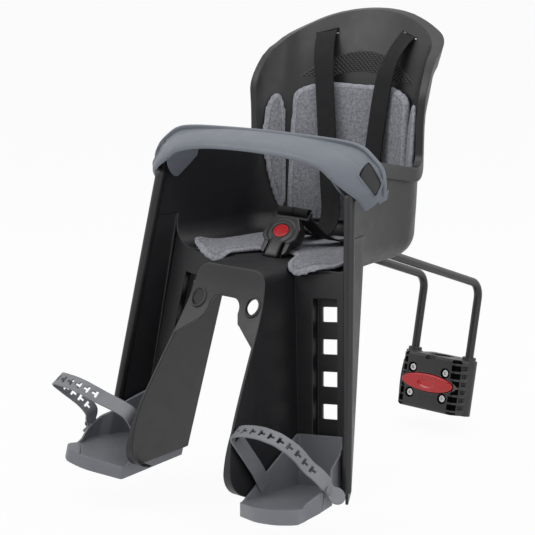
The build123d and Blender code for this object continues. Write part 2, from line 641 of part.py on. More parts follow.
def make_block():
    """Front half with its two sleeves, rear half, liners, bolts, nuts and the release button."""
    high = BLOCK_HIGH - BLOCK_LOW
    middle = (BLOCK_HIGH + BLOCK_LOW) / 2
    split = SPLIT_GAP / 2
    plan = Polygon(
        (-BLOCK_HALF, -BLOCK_FACE),
        (BLOCK_HALF, -BLOCK_FACE),
        (BLOCK_SIDE, -BLOCK_FACE + 13),
        (BLOCK_SIDE, -split),
        (-BLOCK_SIDE, -split),
        (-BLOCK_SIDE, -BLOCK_FACE + 13),
        align=None,
    )
    front = Pos(0, 0, BLOCK_LOW) * extrude(plan, high)
    flanks = [e for e in front.edges().filter_by(Axis.Z) if e.center().Y < -split - 1]
    front = fillet(flanks, 4)
    face_edges = [e for e in front.edges() if e.center().Y < -BLOCK_FACE + 0.1]
    face_edges = [e for e in face_edges if abs(e.center().Z - middle) > 30]
    front = chamfer(face_edges, 3)
    for side in (-1, 1):
        for step in range(RIB_COUNT):
            z = middle + (step - (RIB_COUNT - 1) / 2) * RIB_PITCH
            front -= Pos(side * BLOCK_SIDE, -BLOCK_FACE + 15, z) * Box(2 * RIB_DEEP, 14, RIB_HIGH)
        front += Pos(side * ROD_X, 0, middle) * Cylinder(SLEEVE_R, high)
        collar = Cylinder(SLEEVE_R - COLLAR_STEP, COLLAR_HIGH + 2)
        front += Pos(side * ROD_X, 0, BLOCK_HIGH + COLLAR_HIGH / 2 - 1) * collar
    tube_hole = Pos(0, 0, middle) * Cylinder(TUBE_R + LINER, high + 40)
    front -= tube_hole
    for side in (-1, 1):
        bore_low = BLOCK_LOW + SLEEVE_FLOOR
        front -= Pos(side * ROD_X, 0, bore_low + high) * Cylinder(ROD_R + ROD_FIT, 2 * high)
    pocket = BUTTON_DEEP - BUTTON_PROUD + BUTTON_TRAVEL + 0.3
    pocket_wide, pocket_high = BUTTON_WIDE + 2 * BUTTON_FIT, BUTTON_HIGH + 2 * BUTTON_FIT
    front -= button_prism(pocket_wide, pocket_high, -BLOCK_FACE - 5, -BLOCK_FACE + pocket)
    front -= slab((-9, 9), (-BLOCK_FACE - 1, -BLOCK_FACE + 5), (BLOCK_HIGH - 7, BLOCK_HIGH + 1))
    rear = slab((-REAR_HALF, REAR_HALF), (split, REAR_DEEP), (BLOCK_LOW, BLOCK_HIGH))
    rear = fillet([e for e in rear.edges().filter_by(Axis.Z) if e.center().Y > REAR_DEEP - 1], 9)
    rear = rear - tube_hole
    bolts, nuts = [], []
    head_y = -BLOCK_FACE + BOLT_HEAD + 1
    nut_y = REAR_DEEP - NUT_HIGH - 1
    for x, z in block_bolts():
        front -= along_y(x, z, BOLT_R + ROD_FIT, -BLOCK_FACE - 1, 5)
        front -= along_y(x, z, BOLT_HEAD_R + 0.6, -BLOCK_FACE - 1, head_y)
        rear -= along_y(x, z, BOLT_R + ROD_FIT, -5, REAR_DEEP + 1)
        nut_place = Plane(origin=(x, nut_y, z), x_dir=(1, 0, 0), z_dir=(0, 1, 0))
        rear -= nut_place * extrude(RegularPolygon(NUT_R + 0.3, 6), 20)
        nut = extrude(RegularPolygon(NUT_R, 6), NUT_HIGH) - Cylinder(BOLT_R + SCREW_FIT, 40)
        nuts.append(nut_place * nut)
        bolt = along_y(x, z, BOLT_HEAD_R, head_y - BOLT_HEAD, head_y)
        bolt += along_y(x, z, BOLT_R, head_y - 0.5, nut_y + NUT_HIGH)
        socket = Plane(origin=(x, head_y - BOLT_HEAD, z), x_dir=(1, 0, 0), z_dir=(0, 1, 0))
        bolts.append(bolt - socket * extrude(RegularPolygon(2.9, 6), 3, both=True))
    ring = Pos(0, 0, middle) * (Cylinder(TUBE_R + LINER - LINER_FIT, high) - Cylinder(TUBE_R, high + 10))
    liner_front = ring & slab((-60, 60), (-60, -split), (-90, 90))
    liner_rear = ring & slab((-60, 60), (split, 60), (-90, 90))
    button_y = -BLOCK_FACE - BUTTON_PROUD
    button = button_prism(BUTTON_WIDE, BUTTON_HIGH, button_y, button_y + BUTTON_DEEP)
    button = fillet(button.edges().sort_by(Axis.Y)[0], 2)
    tilt = Rotation(-TUBE_LEAN_DEG, 0, 0)
    return {
        "block_front": [tilt * front],
        "block_rear": [tilt * rear],
        "clamp_liner_front": [tilt * liner_front],
        "clamp_liner_rear": [tilt * liner_rear],
        "clamp_bolts": [tilt * bolt for bolt in bolts],
        "clamp_nuts": [tilt * nut for nut in nuts],
        "release_button": [tilt * button],
    }


def make_bar():
    """Grab bar: a thin leaning channel, open below, with a window in each end for the shell's catch."""
    count = (len(BAR_REAR) - 1) * BAR_STEPS
    bar = loft([bar_section(step / BAR_STEPS) for step in range(count + 1)], ruled=True)
    corners = [Vector(x, LEG_BACK_Y - ahead, z) for x, ahead, z in CHEEK_CORNERS]
    front, low, behind = corners[:3]
    face = Plane(origin=low, x_dir=front - low, z_dir=(front - low).cross(behind - low))
    flat = [face.to_local_coords(spot) for spot in corners]
    cheek = Polygon(*[(spot.X, spot.Y) for spot in flat], align=None)
    bar = bar + face * extrude(cheek, CHEEK_THICK / 2, both=True)
    bar = bar + mirror(bar, about=Plane.YZ)
    frame = catch_frame()
    window = frame * extrude(catch_outline(BAR_WINDOW_FIT), 2 * CATCH_DEEP / 3, both=True)
    for side in both(window):
        bar = bar - side
    return bar


def tray_outline():
    with BuildSketch() as outline:
        Polygon(*[(x, z) for x, z, _ in TRAY_CORNERS], align=None)
        for x, z, radius in TRAY_CORNERS[1:]:
            fillet(outline.vertices().sort_by_distance((x, z))[0], radius)
    return outline.sketch


def upright(face, low, high):
    """A plan outline drawn as (x, z) in the rail's frame, raised from low to high along the rail."""
    return Pos(0, low, 0) * extrude(Plane.XZ * face, low - high)


def foot_strap_frame():
    inner, outer, tip = Vector(*FOOT_STRAP_IN), Vector(*FOOT_STRAP_OUT), Vector(*FOOT_STRAP_TIP)
    middle = (inner + outer) * 0.5
    across = (outer - inner).normalized()
    out = tip - middle
    out = out - across * out.dot(across)
    frame = Plane(origin=middle, x_dir=across, z_dir=across.cross(out))
    return frame, (outer - inner).length / 2


def loop_face(half):
    """The strap's outline seen along its width: straight inside, folded at its tip and bowed outside."""
    reach = FOOT_STRAP_REACH
    bends = (
        (half + FOOT_STRAP_BOW, reach / 3, 40.0),
        (half - 3, reach, 38.0),
        (FOOT_STRAP_FOLD, reach, 5.0),
    )
    ends = [(-half, 0), (-half, -24), (half, -24), (half, FOOT_STRAP_WIDE)]
    with BuildSketch() as loop:
        Polygon(*ends, *[(x, y) for x, y, _ in bends], align=None)
        for x, y, radius in bends:
            fillet(loop.vertices().sort_by_distance((x, y))[0], radius)
    return loop.sketch


def make_footrest():
    """Right footrest, its loop strap and the strap's stud, all in the rail's frame."""
    outline = tray_outline()
    inside = offset(outline, -TRAY_WALL)
    tray = upright(outline, TRAY_LOW_Y, TRAY_BACK_Y)
    tray -= upright(inside, TRAY_FLOOR_Y, TRAY_BACK_Y + 5)
    tray -= upright(inside, TRAY_LOW_Y - 5, TRAY_FLOOR_Y - TRAY_FLOOR)
    over = Polygon(
        (TRAY_BACK_Y + 1, -40.0),
        (TRAY_BACK_Y + 1, 5.0),
        (TRAY_FLOOR_Y, 106.0),
        (TRAY_FLOOR_Y, 150.0),
        (150.0, 150.0),
        (150.0, -40.0),
        align=None,
    )
    tray -= from_side(over)
    half = RAIL_WIDE / 2 - TONGUE_FIT
    tray += slab((-half, half), (TONGUE_LOW, TONGUE_HIGH), (-RAIL_DEEP + TONGUE_FIT, TRAY_GAP + 1))
    frame, loop_half = foot_strap_frame()
    outside = loop_face(loop_half + FOOT_STRAP / 2)
    loop = outside - offset(outside, -FOOT_STRAP)
    strap = extrude(frame * loop, FOOT_STRAP_WIDE / 2, both=True)
    strap -= slab((-100, 100), (-100, 100), (-100, FOOT_STRAP_IN[2] - 6))
    stud_y, stud_z = FOOT_STRAP_OUT[1] + 1, FOOT_STRAP_OUT[2] + 5
    face_x = FOOT_STRAP_OUT[0] + FOOT_STRAP / 2 + 1
    shank = Pos(0, stud_y, stud_z) * Rotation(0, 90, 0)
    hole = Pos(face_x - 5, 0, 0) * shank * Cylinder(STUD_R + 0.3, 20)
    strap -= hole
    tray -= hole
    long = face_x - 54
    stud = Pos(54 + long / 2, 0, 0) * shank * Cylinder(STUD_R, long)
    stud += Pos(face_x + STUD_HEAD / 2, 0, 0) * shank * Cylinder(STUD_HEAD_R, STUD_HEAD)
    return tray, strap, stud


def ribbon(points, sides, wide, thick):
    """A flat strap through points; sides gives the strap's width direction at each of them."""
    places = [Vector(*p) for p in points]
    sections = []
    for index, place in enumerate(places):
        ahead = places[min(index + 1, len(places) - 1)] - places[max(index - 1, 0)]
        across = Vector(*sides[index])
        across = (across - ahead * (across.dot(ahead) / ahead.dot(ahead))).normalized()
        sections.append(Plane(origin=place, x_dir=across, z_dir=ahead) * Rectangle(wide, thick))
    return loft(sections, ruled=True)


def pad_shell():
    near, far = -WALL - PAD_GAP, -WALL - PAD_GAP - PAD_THICK
    return tub_volume(near) - tub_volume(far)


def make_pads():
    """Plain cushions: one on the back, one in each corner beside it and one on the pan."""
    skin = pad_shell()
    back = skin & slab((-BACK_PAD_HALF, BACK_PAD_HALF), (-290, -100), (BACK_PAD_LOW, BACK_PAD_TOP))
    side = skin & slab((SIDE_PAD_IN, SIDE_PAD_OUT), (SIDE_PAD_FRONT, -100), (SIDE_PAD_LOW, SIDE_PAD_TOP))
    low = FLOOR_Z + WALL + PAD_GAP
    half = [(x, y) for x, y in SEAT_PAD_BACK] + [(x, LEG_BACK_Y - ahead) for x, ahead in SEAT_PAD_FRONT]
    mirrored = [(-x, y) for x, y in reversed(half)]
    seat = extrude(Pos(0, 0, low) * Polygon(*half, *mirrored, align=None), SEAT_PAD_THICK, dir=(0, 0, 1))
    seat = fillet([e for e in seat.edges().filter_by(Axis.Z) if e.center().Y < LEG_BACK_Y + 12], 6)
    return seat, back, side


def buckle_frame():
    lean = radians(BUCKLE_LEAN_DEG)
    return Plane(origin=(0, BUCKLE_Y, BUCKLE_Z), x_dir=(1, 0, 0), z_dir=(0, -cos(lean), sin(lean)))


def make_buckle():
    """Housing, its oval button and the loop tongue that both shoulder straps run through."""
    low, high = BUCKLE_LOW, BUCKLE_HIGH
    half = BUCKLE_WIDE / 2
    right = [(BUCKLE_NECK, high), (half, high / 4), (half, low + 8), (half - 8, low)]
    left = [(-x, y) for x, y in reversed(right)]
    outline = Polygon(*right, *left, align=None)
    housing = Pos(0, 0, -BUCKLE_DEEP) * extrude(outline, BUCKLE_DEEP, dir=(0, 0, 1))
    housing = fillet(housing.edges().filter_by(Axis.Z), 6)
    housing = fillet(housing.faces().sort_by(Axis.Z)[-1].edges(), 2.5)
    well = BUCKLE_BUTTON_DEEP - BUCKLE_BUTTON_PROUD + BUCKLE_TRAVEL + 0.4
    housing -= Pos(0, 0, -well) * extrude(Ellipse(BUCKLE_BUTTON_A + 0.5, BUCKLE_BUTTON_B + 0.5), 20)
    button_low = BUCKLE_BUTTON_PROUD - BUCKLE_BUTTON_DEEP
    button = Pos(0, 0, button_low) * extrude(Ellipse(BUCKLE_BUTTON_A, BUCKLE_BUTTON_B), BUCKLE_BUTTON_DEEP)
    button = fillet(button.edges().sort_by(Axis.Z)[-1], 1)
    mid = -BUCKLE_WEB
    stem = slab((-14, 14), (high - 8, high + 3), (mid - 1.2, mid + 1.2))
    loop = slab((-half, half), (high + 0.5, high + LOOP_HIGH), (mid - 2.2, mid + 2.2))
    loop = fillet(loop.edges().filter_by(Axis.Z), 4)
    eye = half - LOOP_SIDE
    loop -= slab((-eye, eye), (high + 4, high + LOOP_HIGH - 3), (mid - 10, mid + 10))
    housing -= slab((-14.4, 14.4), (high - 9, high + 5), (mid - 1.6, mid + 1.6))
    housing -= slab((-15, 15), (low - 5, low + 8), (mid - 1.3, mid + 1.3))
    frame = buckle_frame()
    return frame * housing, frame * button, frame * (loop + stem)


def slot_frame():
    """Frame of the right shoulder slot: x along the slot, y out through the back."""
    level = sqrt(1 - (SLOT_X / TUB_HALF) ** 2)
    place = Pos(SLOT_X, BACK_LINE[4][1] - TUB_ROUND * (1 - level) - SLOT_IN, SLOT_Z)
    turn = degrees(atan(TUB_ROUND * SLOT_X / TUB_HALF**2 / level)) + SLOT_TURN_DEG
    return Plane(place * Rotation(0, SLOT_ROLL_DEG, -turn))


def make_straps():
    """Right shoulder strap, crotch strap and the slides that hold the straps' ends."""
    slot = slot_frame()
    frame = buckle_frame()
    mid = -BUCKLE_WEB
    eye = BUCKLE_HIGH + LOOP_HIGH / 2 + 0.5
    room = BUCKLE_WIDE / 2 - LOOP_SIDE
    points = [
        slot.from_local_coords(Vector(0, SLIDE_OUT + 7, 0)),
        slot.from_local_coords(Vector(0, -3, 0)),
        slot.from_local_coords(Vector(0, -10, -4)),
        *[Vector(*spot) for spot in STRAP_PATH],
        frame.from_local_coords(Vector(room / 2, eye, mid - 9)),
        frame.from_local_coords(Vector(room / 2, eye, mid + 5)),
    ]
    sides = [slot.x_dir] * 3 + [Vector(1, -0.2, 0)] * 3 + [Vector(1, 0, 0)] * 6
    narrow = min(WEB_WIDE, room - 2 * STRAP_FIT)
    shoulder = ribbon(points, sides, narrow, WEB_THICK)
    middle = BUCKLE_LOW + 7
    crotch_points = [
        Vector(0, CROTCH_Y, FLOOR_Z - 14),
        Vector(0, CROTCH_Y, FLOOR_Z + WALL + 2),
        frame.from_local_coords(Vector(0, BUCKLE_LOW - 4, mid)),
        frame.from_local_coords(Vector(0, middle, mid)),
    ]
    crotch = ribbon(crotch_points, [Vector(1, 0, 0)] * 4, WEB_WIDE, WEB_THICK)
    slide = slab((-SLIDE_WIDE / 2, SLIDE_WIDE / 2), (0, SLIDE_THICK), (-SLIDE_HIGH / 2, SLIDE_HIGH / 2))
    slide = fillet(slide.edges().filter_by(Axis.Y), 4)
    slide -= Box(WEB_WIDE + 2 * SLIDE_FIT, 40, WEB_THICK + 2 * SLIDE_FIT)
    under = Plane(origin=(0, CROTCH_Y, FLOOR_Z - PAD_GAP), x_dir=(1, 0, 0), z_dir=(0, 1, 0))
    slides = both(slot * (Pos(0, SLIDE_OUT, 0) * slide)) + [under * slide]
    return shoulder, crotch, slides


def make_all():
    add("seat_shell", make_shell())
    seat, back, side = make_pads()
    add("seat_pad", seat)
    add("back_pad", back)
    for name, pad in zip(("side_pad_left", "side_pad_right"), both(side)):
        add(name, pad)
    add("grab_bar", make_bar())
    shoulder, crotch, slides = make_straps()
    for name, strap in zip(("shoulder_strap_left", "shoulder_strap_right"), both(shoulder)):
        add(name, strap)
    add("crotch_strap", crotch)
    add("strap_slides", *slides)
    housing, button, tongue = make_buckle()
    add("buckle_housing", housing)
    add("buckle_button", button)
    add("buckle_tongue", tongue)
    rail = rail_frame()
    for kind, piece in zip(("footrest", "foot_strap", "strap_stud"), make_footrest()):
        for hand, placed in zip(("left", "right"), both(rail * piece)):
            add(kind + "_" + hand, placed)
    add("carrier_rod", make_rod())
    plate, screws = make_plate()
    add("rod_plate", plate)
    add("plate_screws", *screws)
    for name, pieces in make_block().items():
        add(name, *pieces)


make_all()
os.makedirs("parts", exist_ok=True)
for node, shape in NODES.items():
    export_step(shape, "parts/" + node + ".step")
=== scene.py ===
"""Looks for a front child seat: moulded plastics, felt cushions, webbing, footrest straps and the clamp block."""
import json
import math

import bmesh
import bpy
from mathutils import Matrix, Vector
from mathutils.bvhtree import BVHTree


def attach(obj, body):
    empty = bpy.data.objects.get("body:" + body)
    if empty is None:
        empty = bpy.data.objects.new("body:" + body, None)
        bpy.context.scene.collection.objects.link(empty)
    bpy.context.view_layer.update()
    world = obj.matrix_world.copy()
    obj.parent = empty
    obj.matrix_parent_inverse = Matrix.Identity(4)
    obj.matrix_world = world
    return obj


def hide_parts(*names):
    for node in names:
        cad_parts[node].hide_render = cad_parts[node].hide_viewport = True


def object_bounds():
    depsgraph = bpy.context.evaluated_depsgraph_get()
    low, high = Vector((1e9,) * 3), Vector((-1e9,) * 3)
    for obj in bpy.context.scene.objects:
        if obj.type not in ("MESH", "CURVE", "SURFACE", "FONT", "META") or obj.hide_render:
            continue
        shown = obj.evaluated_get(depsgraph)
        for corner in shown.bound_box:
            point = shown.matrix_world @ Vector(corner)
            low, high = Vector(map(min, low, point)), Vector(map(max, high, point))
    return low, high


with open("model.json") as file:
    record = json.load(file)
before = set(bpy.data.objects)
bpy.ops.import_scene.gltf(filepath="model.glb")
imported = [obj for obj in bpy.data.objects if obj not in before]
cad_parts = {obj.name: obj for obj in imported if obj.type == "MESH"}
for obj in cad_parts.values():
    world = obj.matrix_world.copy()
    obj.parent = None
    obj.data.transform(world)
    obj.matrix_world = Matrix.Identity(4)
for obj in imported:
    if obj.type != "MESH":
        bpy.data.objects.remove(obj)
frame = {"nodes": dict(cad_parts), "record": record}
CAD_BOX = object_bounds()
NODES = frame["nodes"]
MM = 0.001
scene = bpy.context.scene


# Materials
FLOAT, COLOUR = "NodeSocketFloat", "NodeSocketColor"
COARSE_RELIEF = 0.0012
MAT = {}


def node(tree, kind, **values):
    """A node with values for its input sockets or, where it has no such socket, its properties."""
    made = tree.nodes.new(kind)
    for key, value in values.items():
        if key in made.inputs:
            made.inputs[key].default_value = value
        else:
            setattr(made, key, value)
    return made


def ramp(tree, source, stops):
    """Colour from a value, through stops of (place, colour)."""
    made = tree.nodes.new("ShaderNodeValToRGB")
    while len(made.color_ramp.elements) < len(stops):
        made.color_ramp.elements.new(0.5)
    for element, (place, colour) in zip(made.color_ramp.elements, stops):
        element.position = place
        element.color = (*colour, 1.0)
    tree.links.new(source, made.inputs["Fac"])
    return made.outputs["Color"]


def grey(value):
    """The same tone in all three colours."""
    return (value, value, value)


def math_node(tree, operation, a, b=None):
    """A sum, product or other step on sockets or numbers."""
    made = tree.nodes.new("ShaderNodeMath")
    made.operation = operation
    for index, value in enumerate((a, b)):
        if value is None:
            continue
        if isinstance(value, (int, float)):
            made.inputs[index].default_value = value
        else:
            tree.links.new(value, made.inputs[index])
    return made.outputs[0]


def object_coords(tree):
    """Places in the piece's own space, in metres."""
    return tree.nodes.new("ShaderNodeTexCoord").outputs["Object"]


def noise(tree, scale, detail, rough):
    """Noise on object coordinates; scale is a number or a socket."""
    made = node(tree, "ShaderNodeTexNoise", Detail=detail, Roughness=rough)
    tree.links.new(object_coords(tree), made.inputs["Vector"])
    if isinstance(scale, float):
        made.inputs["Scale"].default_value = scale
    else:
        tree.links.new(scale, made.inputs["Scale"])
    return made.outputs["Fac"]


def node_group(name, inputs, output):
    """An empty shader node group with named sockets: the group, its input node and its output socket."""
    group = bpy.data.node_groups.new(name, "ShaderNodeTree")
    for label, kind in inputs:
        group.interface.new_socket(label, in_out="INPUT", socket_type=kind)
    group.interface.new_socket(output[0], in_out="OUTPUT", socket_type=output[1])
    return group, group.nodes.new("NodeGroupInput"), group.nodes.new("NodeGroupOutput").inputs[0]


def spread_of(group, given, detail, low, high):
    """Noise at the group's scale, spread from 0 at low to 1 at high."""
    made = node(group, "ShaderNodeMapRange")
    made.inputs["From Min"].default_value = low
    made.inputs["From Max"].default_value = high
    group.links.new(noise(group, given.outputs["Scale"], detail, 0.6), made.inputs["Value"])
    return made


# Effects that several materials share: a wandering colour, a wandering roughness and a fine grain
MOTTLE, given, result = node_group("mottle", (("Low", COLOUR), ("High", COLOUR), ("Scale", FLOAT)), ("Color", COLOUR))
mixed = node(MOTTLE, "ShaderNodeMix", data_type="RGBA")
MOTTLE.links.new(spread_of(MOTTLE, given, 4.0, 0.3, 0.7).outputs["Result"], mixed.inputs["Factor"])
MOTTLE.links.new(given.outputs["Low"], mixed.inputs[6])
MOTTLE.links.new(given.outputs["High"], mixed.inputs[7])
MOTTLE.links.new(mixed.outputs[2], result)
HANDLED, given, result = node_group(
    "handled", (("Low", FLOAT), ("High", FLOAT), ("Scale", FLOAT)), ("Roughness", FLOAT))
spread = spread_of(HANDLED, given, 3.0, 0.25, 0.75)
HANDLED.links.new(given.outputs["Low"], spread.inputs["To Min"])
HANDLED.links.new(given.outputs["High"], spread.inputs["To Max"])
HANDLED.links.new(spread.outputs["Result"], result)
GRAIN, given, result = node_group("grain", (("Scale", FLOAT),), ("Height", FLOAT))
GRAIN.links.new(noise(GRAIN, given.outputs["Scale"], 2.0, 0.5), result)


def placed(group, **values):
    """A maker that puts a node group in a material with its own values."""
    def make(tree):
        return node(tree, "ShaderNodeGroup", node_tree=group, **values).outputs[0]
    return make


def mottled(low, high, scale):
    """Colour that wanders gently between two tones."""
    return placed(MOTTLE, Low=(*low, 1.0), High=(*high, 1.0), Scale=scale)


def rough_between(low, high, scale):
    """Roughness that wanders between two values."""
    return placed(HANDLED, Low=low, High=high, Scale=scale)


def grain(scale):
    """Height of the fine grain of a moulding or of felt."""
    return placed(GRAIN, Scale=scale)


def finish_material(name, colour, rough, height, strength, distance, under=None, **constants):
    """A principled material; colour and rough are (tree -> socket) makers or constants, height and under are makers.

    Height is the fine relief and under the coarser one below it; constants are other sockets of the shader.
    """
    material = MAT[name] = bpy.data.materials.new(name)
    material.use_nodes = True
    tree = material.node_tree
    shader = tree.nodes["Principled BSDF"]
    for label, value in (("Base Color", colour), ("Roughness", rough)):
        if callable(value):
            tree.links.new(value(tree), shader.inputs[label])
        else:
            shader.inputs[label].default_value = value
    bump = node(tree, "ShaderNodeBump", Strength=strength, Distance=distance)
    tree.links.new(height(tree), bump.inputs["Height"])
    tree.links.new(bump.outputs["Normal"], shader.inputs["Normal"])
    if under:
        coarse = node(tree, "ShaderNodeBump", Strength=1.0, Distance=COARSE_RELIEF)
        tree.links.new(under(tree), coarse.inputs["Height"])
        tree.links.new(coarse.outputs["Normal"], bump.inputs["Normal"])
    for label, value in constants.items():
        shader.inputs[label.replace("_", " ")].default_value = value


def toned(tree, colour, tone):
    """A colour multiplied by another."""
    mixed = node(tree, "ShaderNodeMix", data_type="RGBA", blend_type="MULTIPLY")
    mixed.inputs["Factor"].default_value = 1.0
    tree.links.new(colour, mixed.inputs[6])
    tree.links.new(tone, mixed.inputs[7])
    return mixed.outputs[2]


def axes(tree):
    """X, y and z of the object coordinates."""
    parts = tree.nodes.new("ShaderNodeSeparateXYZ")
    tree.links.new(object_coords(tree), parts.inputs[0])
    return parts.outputs


def times(tree, a, b):
    """Product of two sockets or numbers."""
    return math_node(tree, "MULTIPLY", a, b)


def window(tree, value, low, high, edge):
    """1 between low and high, falling to 0 within edge of them."""
    rise = tree.nodes.new("ShaderNodeMapRange")
    fall = tree.nodes.new("ShaderNodeMapRange")
    for made, start, end in ((rise, low - edge, low), (fall, high + edge, high)):
        made.inputs["From Min"].default_value = start
        made.inputs["From Max"].default_value = end
        tree.links.new(value, made.inputs["Value"])
    return times(tree, rise.outputs["Result"], fall.outputs["Result"])


# Diamond relief in metres: half its pitch, its slant, and its crescent's bands as (low, high, soft edge)
DIAMOND, DIAMOND_SLANT, CRESCENT_CURVE = 0.0026, 0.75, 4.2
CRESCENT, CRESCENT_Z, CRESCENT_Y = (0.472, 0.496, 0.002), (0.462, 0.500, 0.002), (-0.25, -0.17, 0.004)


def diamonds(tree):
    """A crescent of small diamonds moulded on the backrest's front above its cushion."""
    facing = node(tree, "ShaderNodeAttribute", attribute_name="facing")
    x, y, z = axes(tree)
    slanted = [math_node(tree, "PINGPONG", math_node(tree, way, times(tree, x, DIAMOND_SLANT), z), DIAMOND)
               for way in ("ADD", "SUBTRACT")]
    relief = times(tree, math_node(tree, "MINIMUM", *slanted), 1 / DIAMOND)
    level = math_node(tree, "ADD", z, times(tree, times(tree, x, x), CRESCENT_CURVE))
    mask = times(tree, window(tree, level, *CRESCENT), window(tree, z, *CRESCENT_Z))
    mask = times(tree, mask, window(tree, y, *CRESCENT_Y))
    return times(tree, relief, times(tree, mask, facing.outputs["Fac"]))


# The clamp block's face in metres: rib bands, bolts and the button with its lip and dish
TUBE_LEAN = math.radians(12.0)
FACE_AHEAD = 0.0200
RIB_HALF_PITCH, RIB_HALF, RIB_BAND = 0.0057, 0.0015, (0.0385, 0.0500, 0.0006)
BOLT_ACROSS, BOLT_UP, BOLT_WELL = 0.0283, 0.0187, 0.0076
BUTTON_OVAL, BUTTON_SURROUND, BUTTON_DISH = (0.0445, 0.0136), (0.0475, 0.0165), (0.0175, 0.0088)
LIP, DISH = (1.035, 1.085, 0.012), (0.92, 9.0, 0.35)
# Tones that multiply the block's black: painted shade in its wells and a painted highlight on the lip round the button
WELL_PAINTED_SHADE, LIP_PAINTED_HIGHLIGHT = 0.10, 3.4


def block_axes(tree):
    """Distance from the block's middle plane, height up the leaning block and distance ahead of the tube, in metres."""
    x, y, z = axes(tree)
    lean, upright = math.sin(TUBE_LEAN), math.cos(TUBE_LEAN)
    up = math_node(tree, "ADD", times(tree, y, lean), times(tree, z, upright))
    ahead = math_node(tree, "ADD", times(tree, y, -upright), times(tree, z, lean))
    return math_node(tree, "ABSOLUTE", x), up, ahead


def oval(tree, across, up, half, high):
    """Distance from an oval's middle, 1 on its outline."""
    parts = [math_node(tree, "DIVIDE", across, half), math_node(tree, "DIVIDE", up, high)]
    return math_node(tree, "SQRT", math_node(tree, "ADD", *(times(tree, part, part) for part in parts)))


def block_wells(tree):
    """Wells between the ribs at the face's sides and round the bolt heads."""
    across, up, ahead = block_axes(tree)
    rib = math_node(tree, "GREATER_THAN", math_node(tree, "PINGPONG", up, RIB_HALF_PITCH), RIB_HALF)
    band = times(tree, window(tree, across, *RIB_BAND), rib)
    band = times(tree, band, math_node(tree, "GREATER_THAN", oval(tree, across, up, *BUTTON_SURROUND), 1.0))
    off = math_node(tree, "SUBTRACT", across, BOLT_ACROSS)
    over = math_node(tree, "SUBTRACT", math_node(tree, "ABSOLUTE", up), BOLT_UP)
    bolt = math_node(tree, "LESS_THAN", oval(tree, off, over, BOLT_WELL, BOLT_WELL), 1.0)
    return times(tree, math_node(tree, "MAXIMUM", band, bolt), math_node(tree, "GREATER_THAN", ahead, FACE_AHEAD))


def block_colour(tree):
    """Black plastic, with painted shade in its wells and a painted highlight on the lip round the button."""
    across, up, ahead = block_axes(tree)
    lip = times(tree, window(tree, oval(tree, across, up, *BUTTON_OVAL), *LIP),
                math_node(tree, "GREATER_THAN", ahead, FACE_AHEAD))
    colour = mottled(grey(0.016), grey(0.024), 30.0)(tree)
    # Painted shade darkens the wells and a painted highlight lightens the lip
    for mask, tone in ((block_wells(tree), WELL_PAINTED_SHADE), (lip, LIP_PAINTED_HIGHLIGHT)):
        colour = toned(tree, colour, ramp(tree, mask, ((0.0, grey(1.0)), (1.0, grey(tone)))))
    return colour


def dished(tree):
    """A shallow dish in the middle of the release button."""
    across, up, _ = block_axes(tree)
    return window(tree, oval(tree, across, up, *BUTTON_DISH), *DISH)


# Width of a cushion's border tones and painted seam shade, in mm from its outline
BORDER_SPAN = 20.0


def felt(tree):
    """Heather felt, lighter along the piped border, with painted shade in its seam; edge is the distance from the
    outline.
    """
    heather = ramp(tree, noise(tree, 300.0, 5.0, 0.7), ((0.32, (0.15, 0.15, 0.168)), (0.68, (0.37, 0.37, 0.40))))
    edge = node(tree, "ShaderNodeAttribute", attribute_name="edge")
    # Lighter two-tone piping at the outline, then painted shade where the seam's crease runs
    piping_and_seam_shade = ramp(tree, times(tree, edge.outputs["Fac"], 1 / BORDER_SPAN), (
        (0.0, grey(1.3)), (0.30, grey(1.25)), (0.38, grey(0.78)), (0.48, grey(0.98)), (1.0, grey(0.96))))
    return toned(tree, heather, piping_and_seam_shade)


def weave(tree):
    """Fine ribs along and across a strap, from its own coordinates in metres."""
    place = node(tree, "ShaderNodeUVMap", uv_map="weave")
    ribs = []
    for way, scale in (("X", 180.0), ("Y", 240.0)):
        rib = node(tree, "ShaderNodeTexWave", Scale=scale, bands_direction=way)
        tree.links.new(place.outputs["UV"], rib.inputs["Vector"])
        ribs.append(rib.outputs["Fac"])
    return times(tree, *ribs)


finish_material(
    "shell_black", mottled((0.0115, 0.0115, 0.013), (0.0155, 0.0155, 0.017), 14.0), rough_between(0.38, 0.48, 60.0),
    grain(900.0), 0.25, 0.0002, under=diamonds, Specular_IOR_Level=0.42)
finish_material(
    "bar_grey", mottled((0.135, 0.150, 0.172), (0.150, 0.166, 0.190), 20.0), rough_between(0.40, 0.50, 70.0),
    grain(1000.0), 0.15, 0.00015)
finish_material(
    "footrest_grey", mottled((0.165, 0.167, 0.184), (0.185, 0.187, 0.205), 20.0), rough_between(0.42, 0.54, 70.0),
    grain(900.0), 0.2, 0.0002)
finish_material(
    "strap_grey", mottled((0.175, 0.178, 0.192), (0.205, 0.208, 0.222), 30.0), rough_between(0.40, 0.52, 80.0),
    grain(1200.0), 0.15, 0.00015)
finish_material(
    "hardware_black", mottled(grey(0.012), grey(0.018), 30.0), rough_between(0.35, 0.45, 80.0),
    grain(1200.0), 0.15, 0.00015)
finish_material(
    "block_black", block_colour, rough_between(0.42, 0.52, 80.0), grain(1000.0), 0.2, 0.0002)
block_tree = MAT["block_black"].node_tree
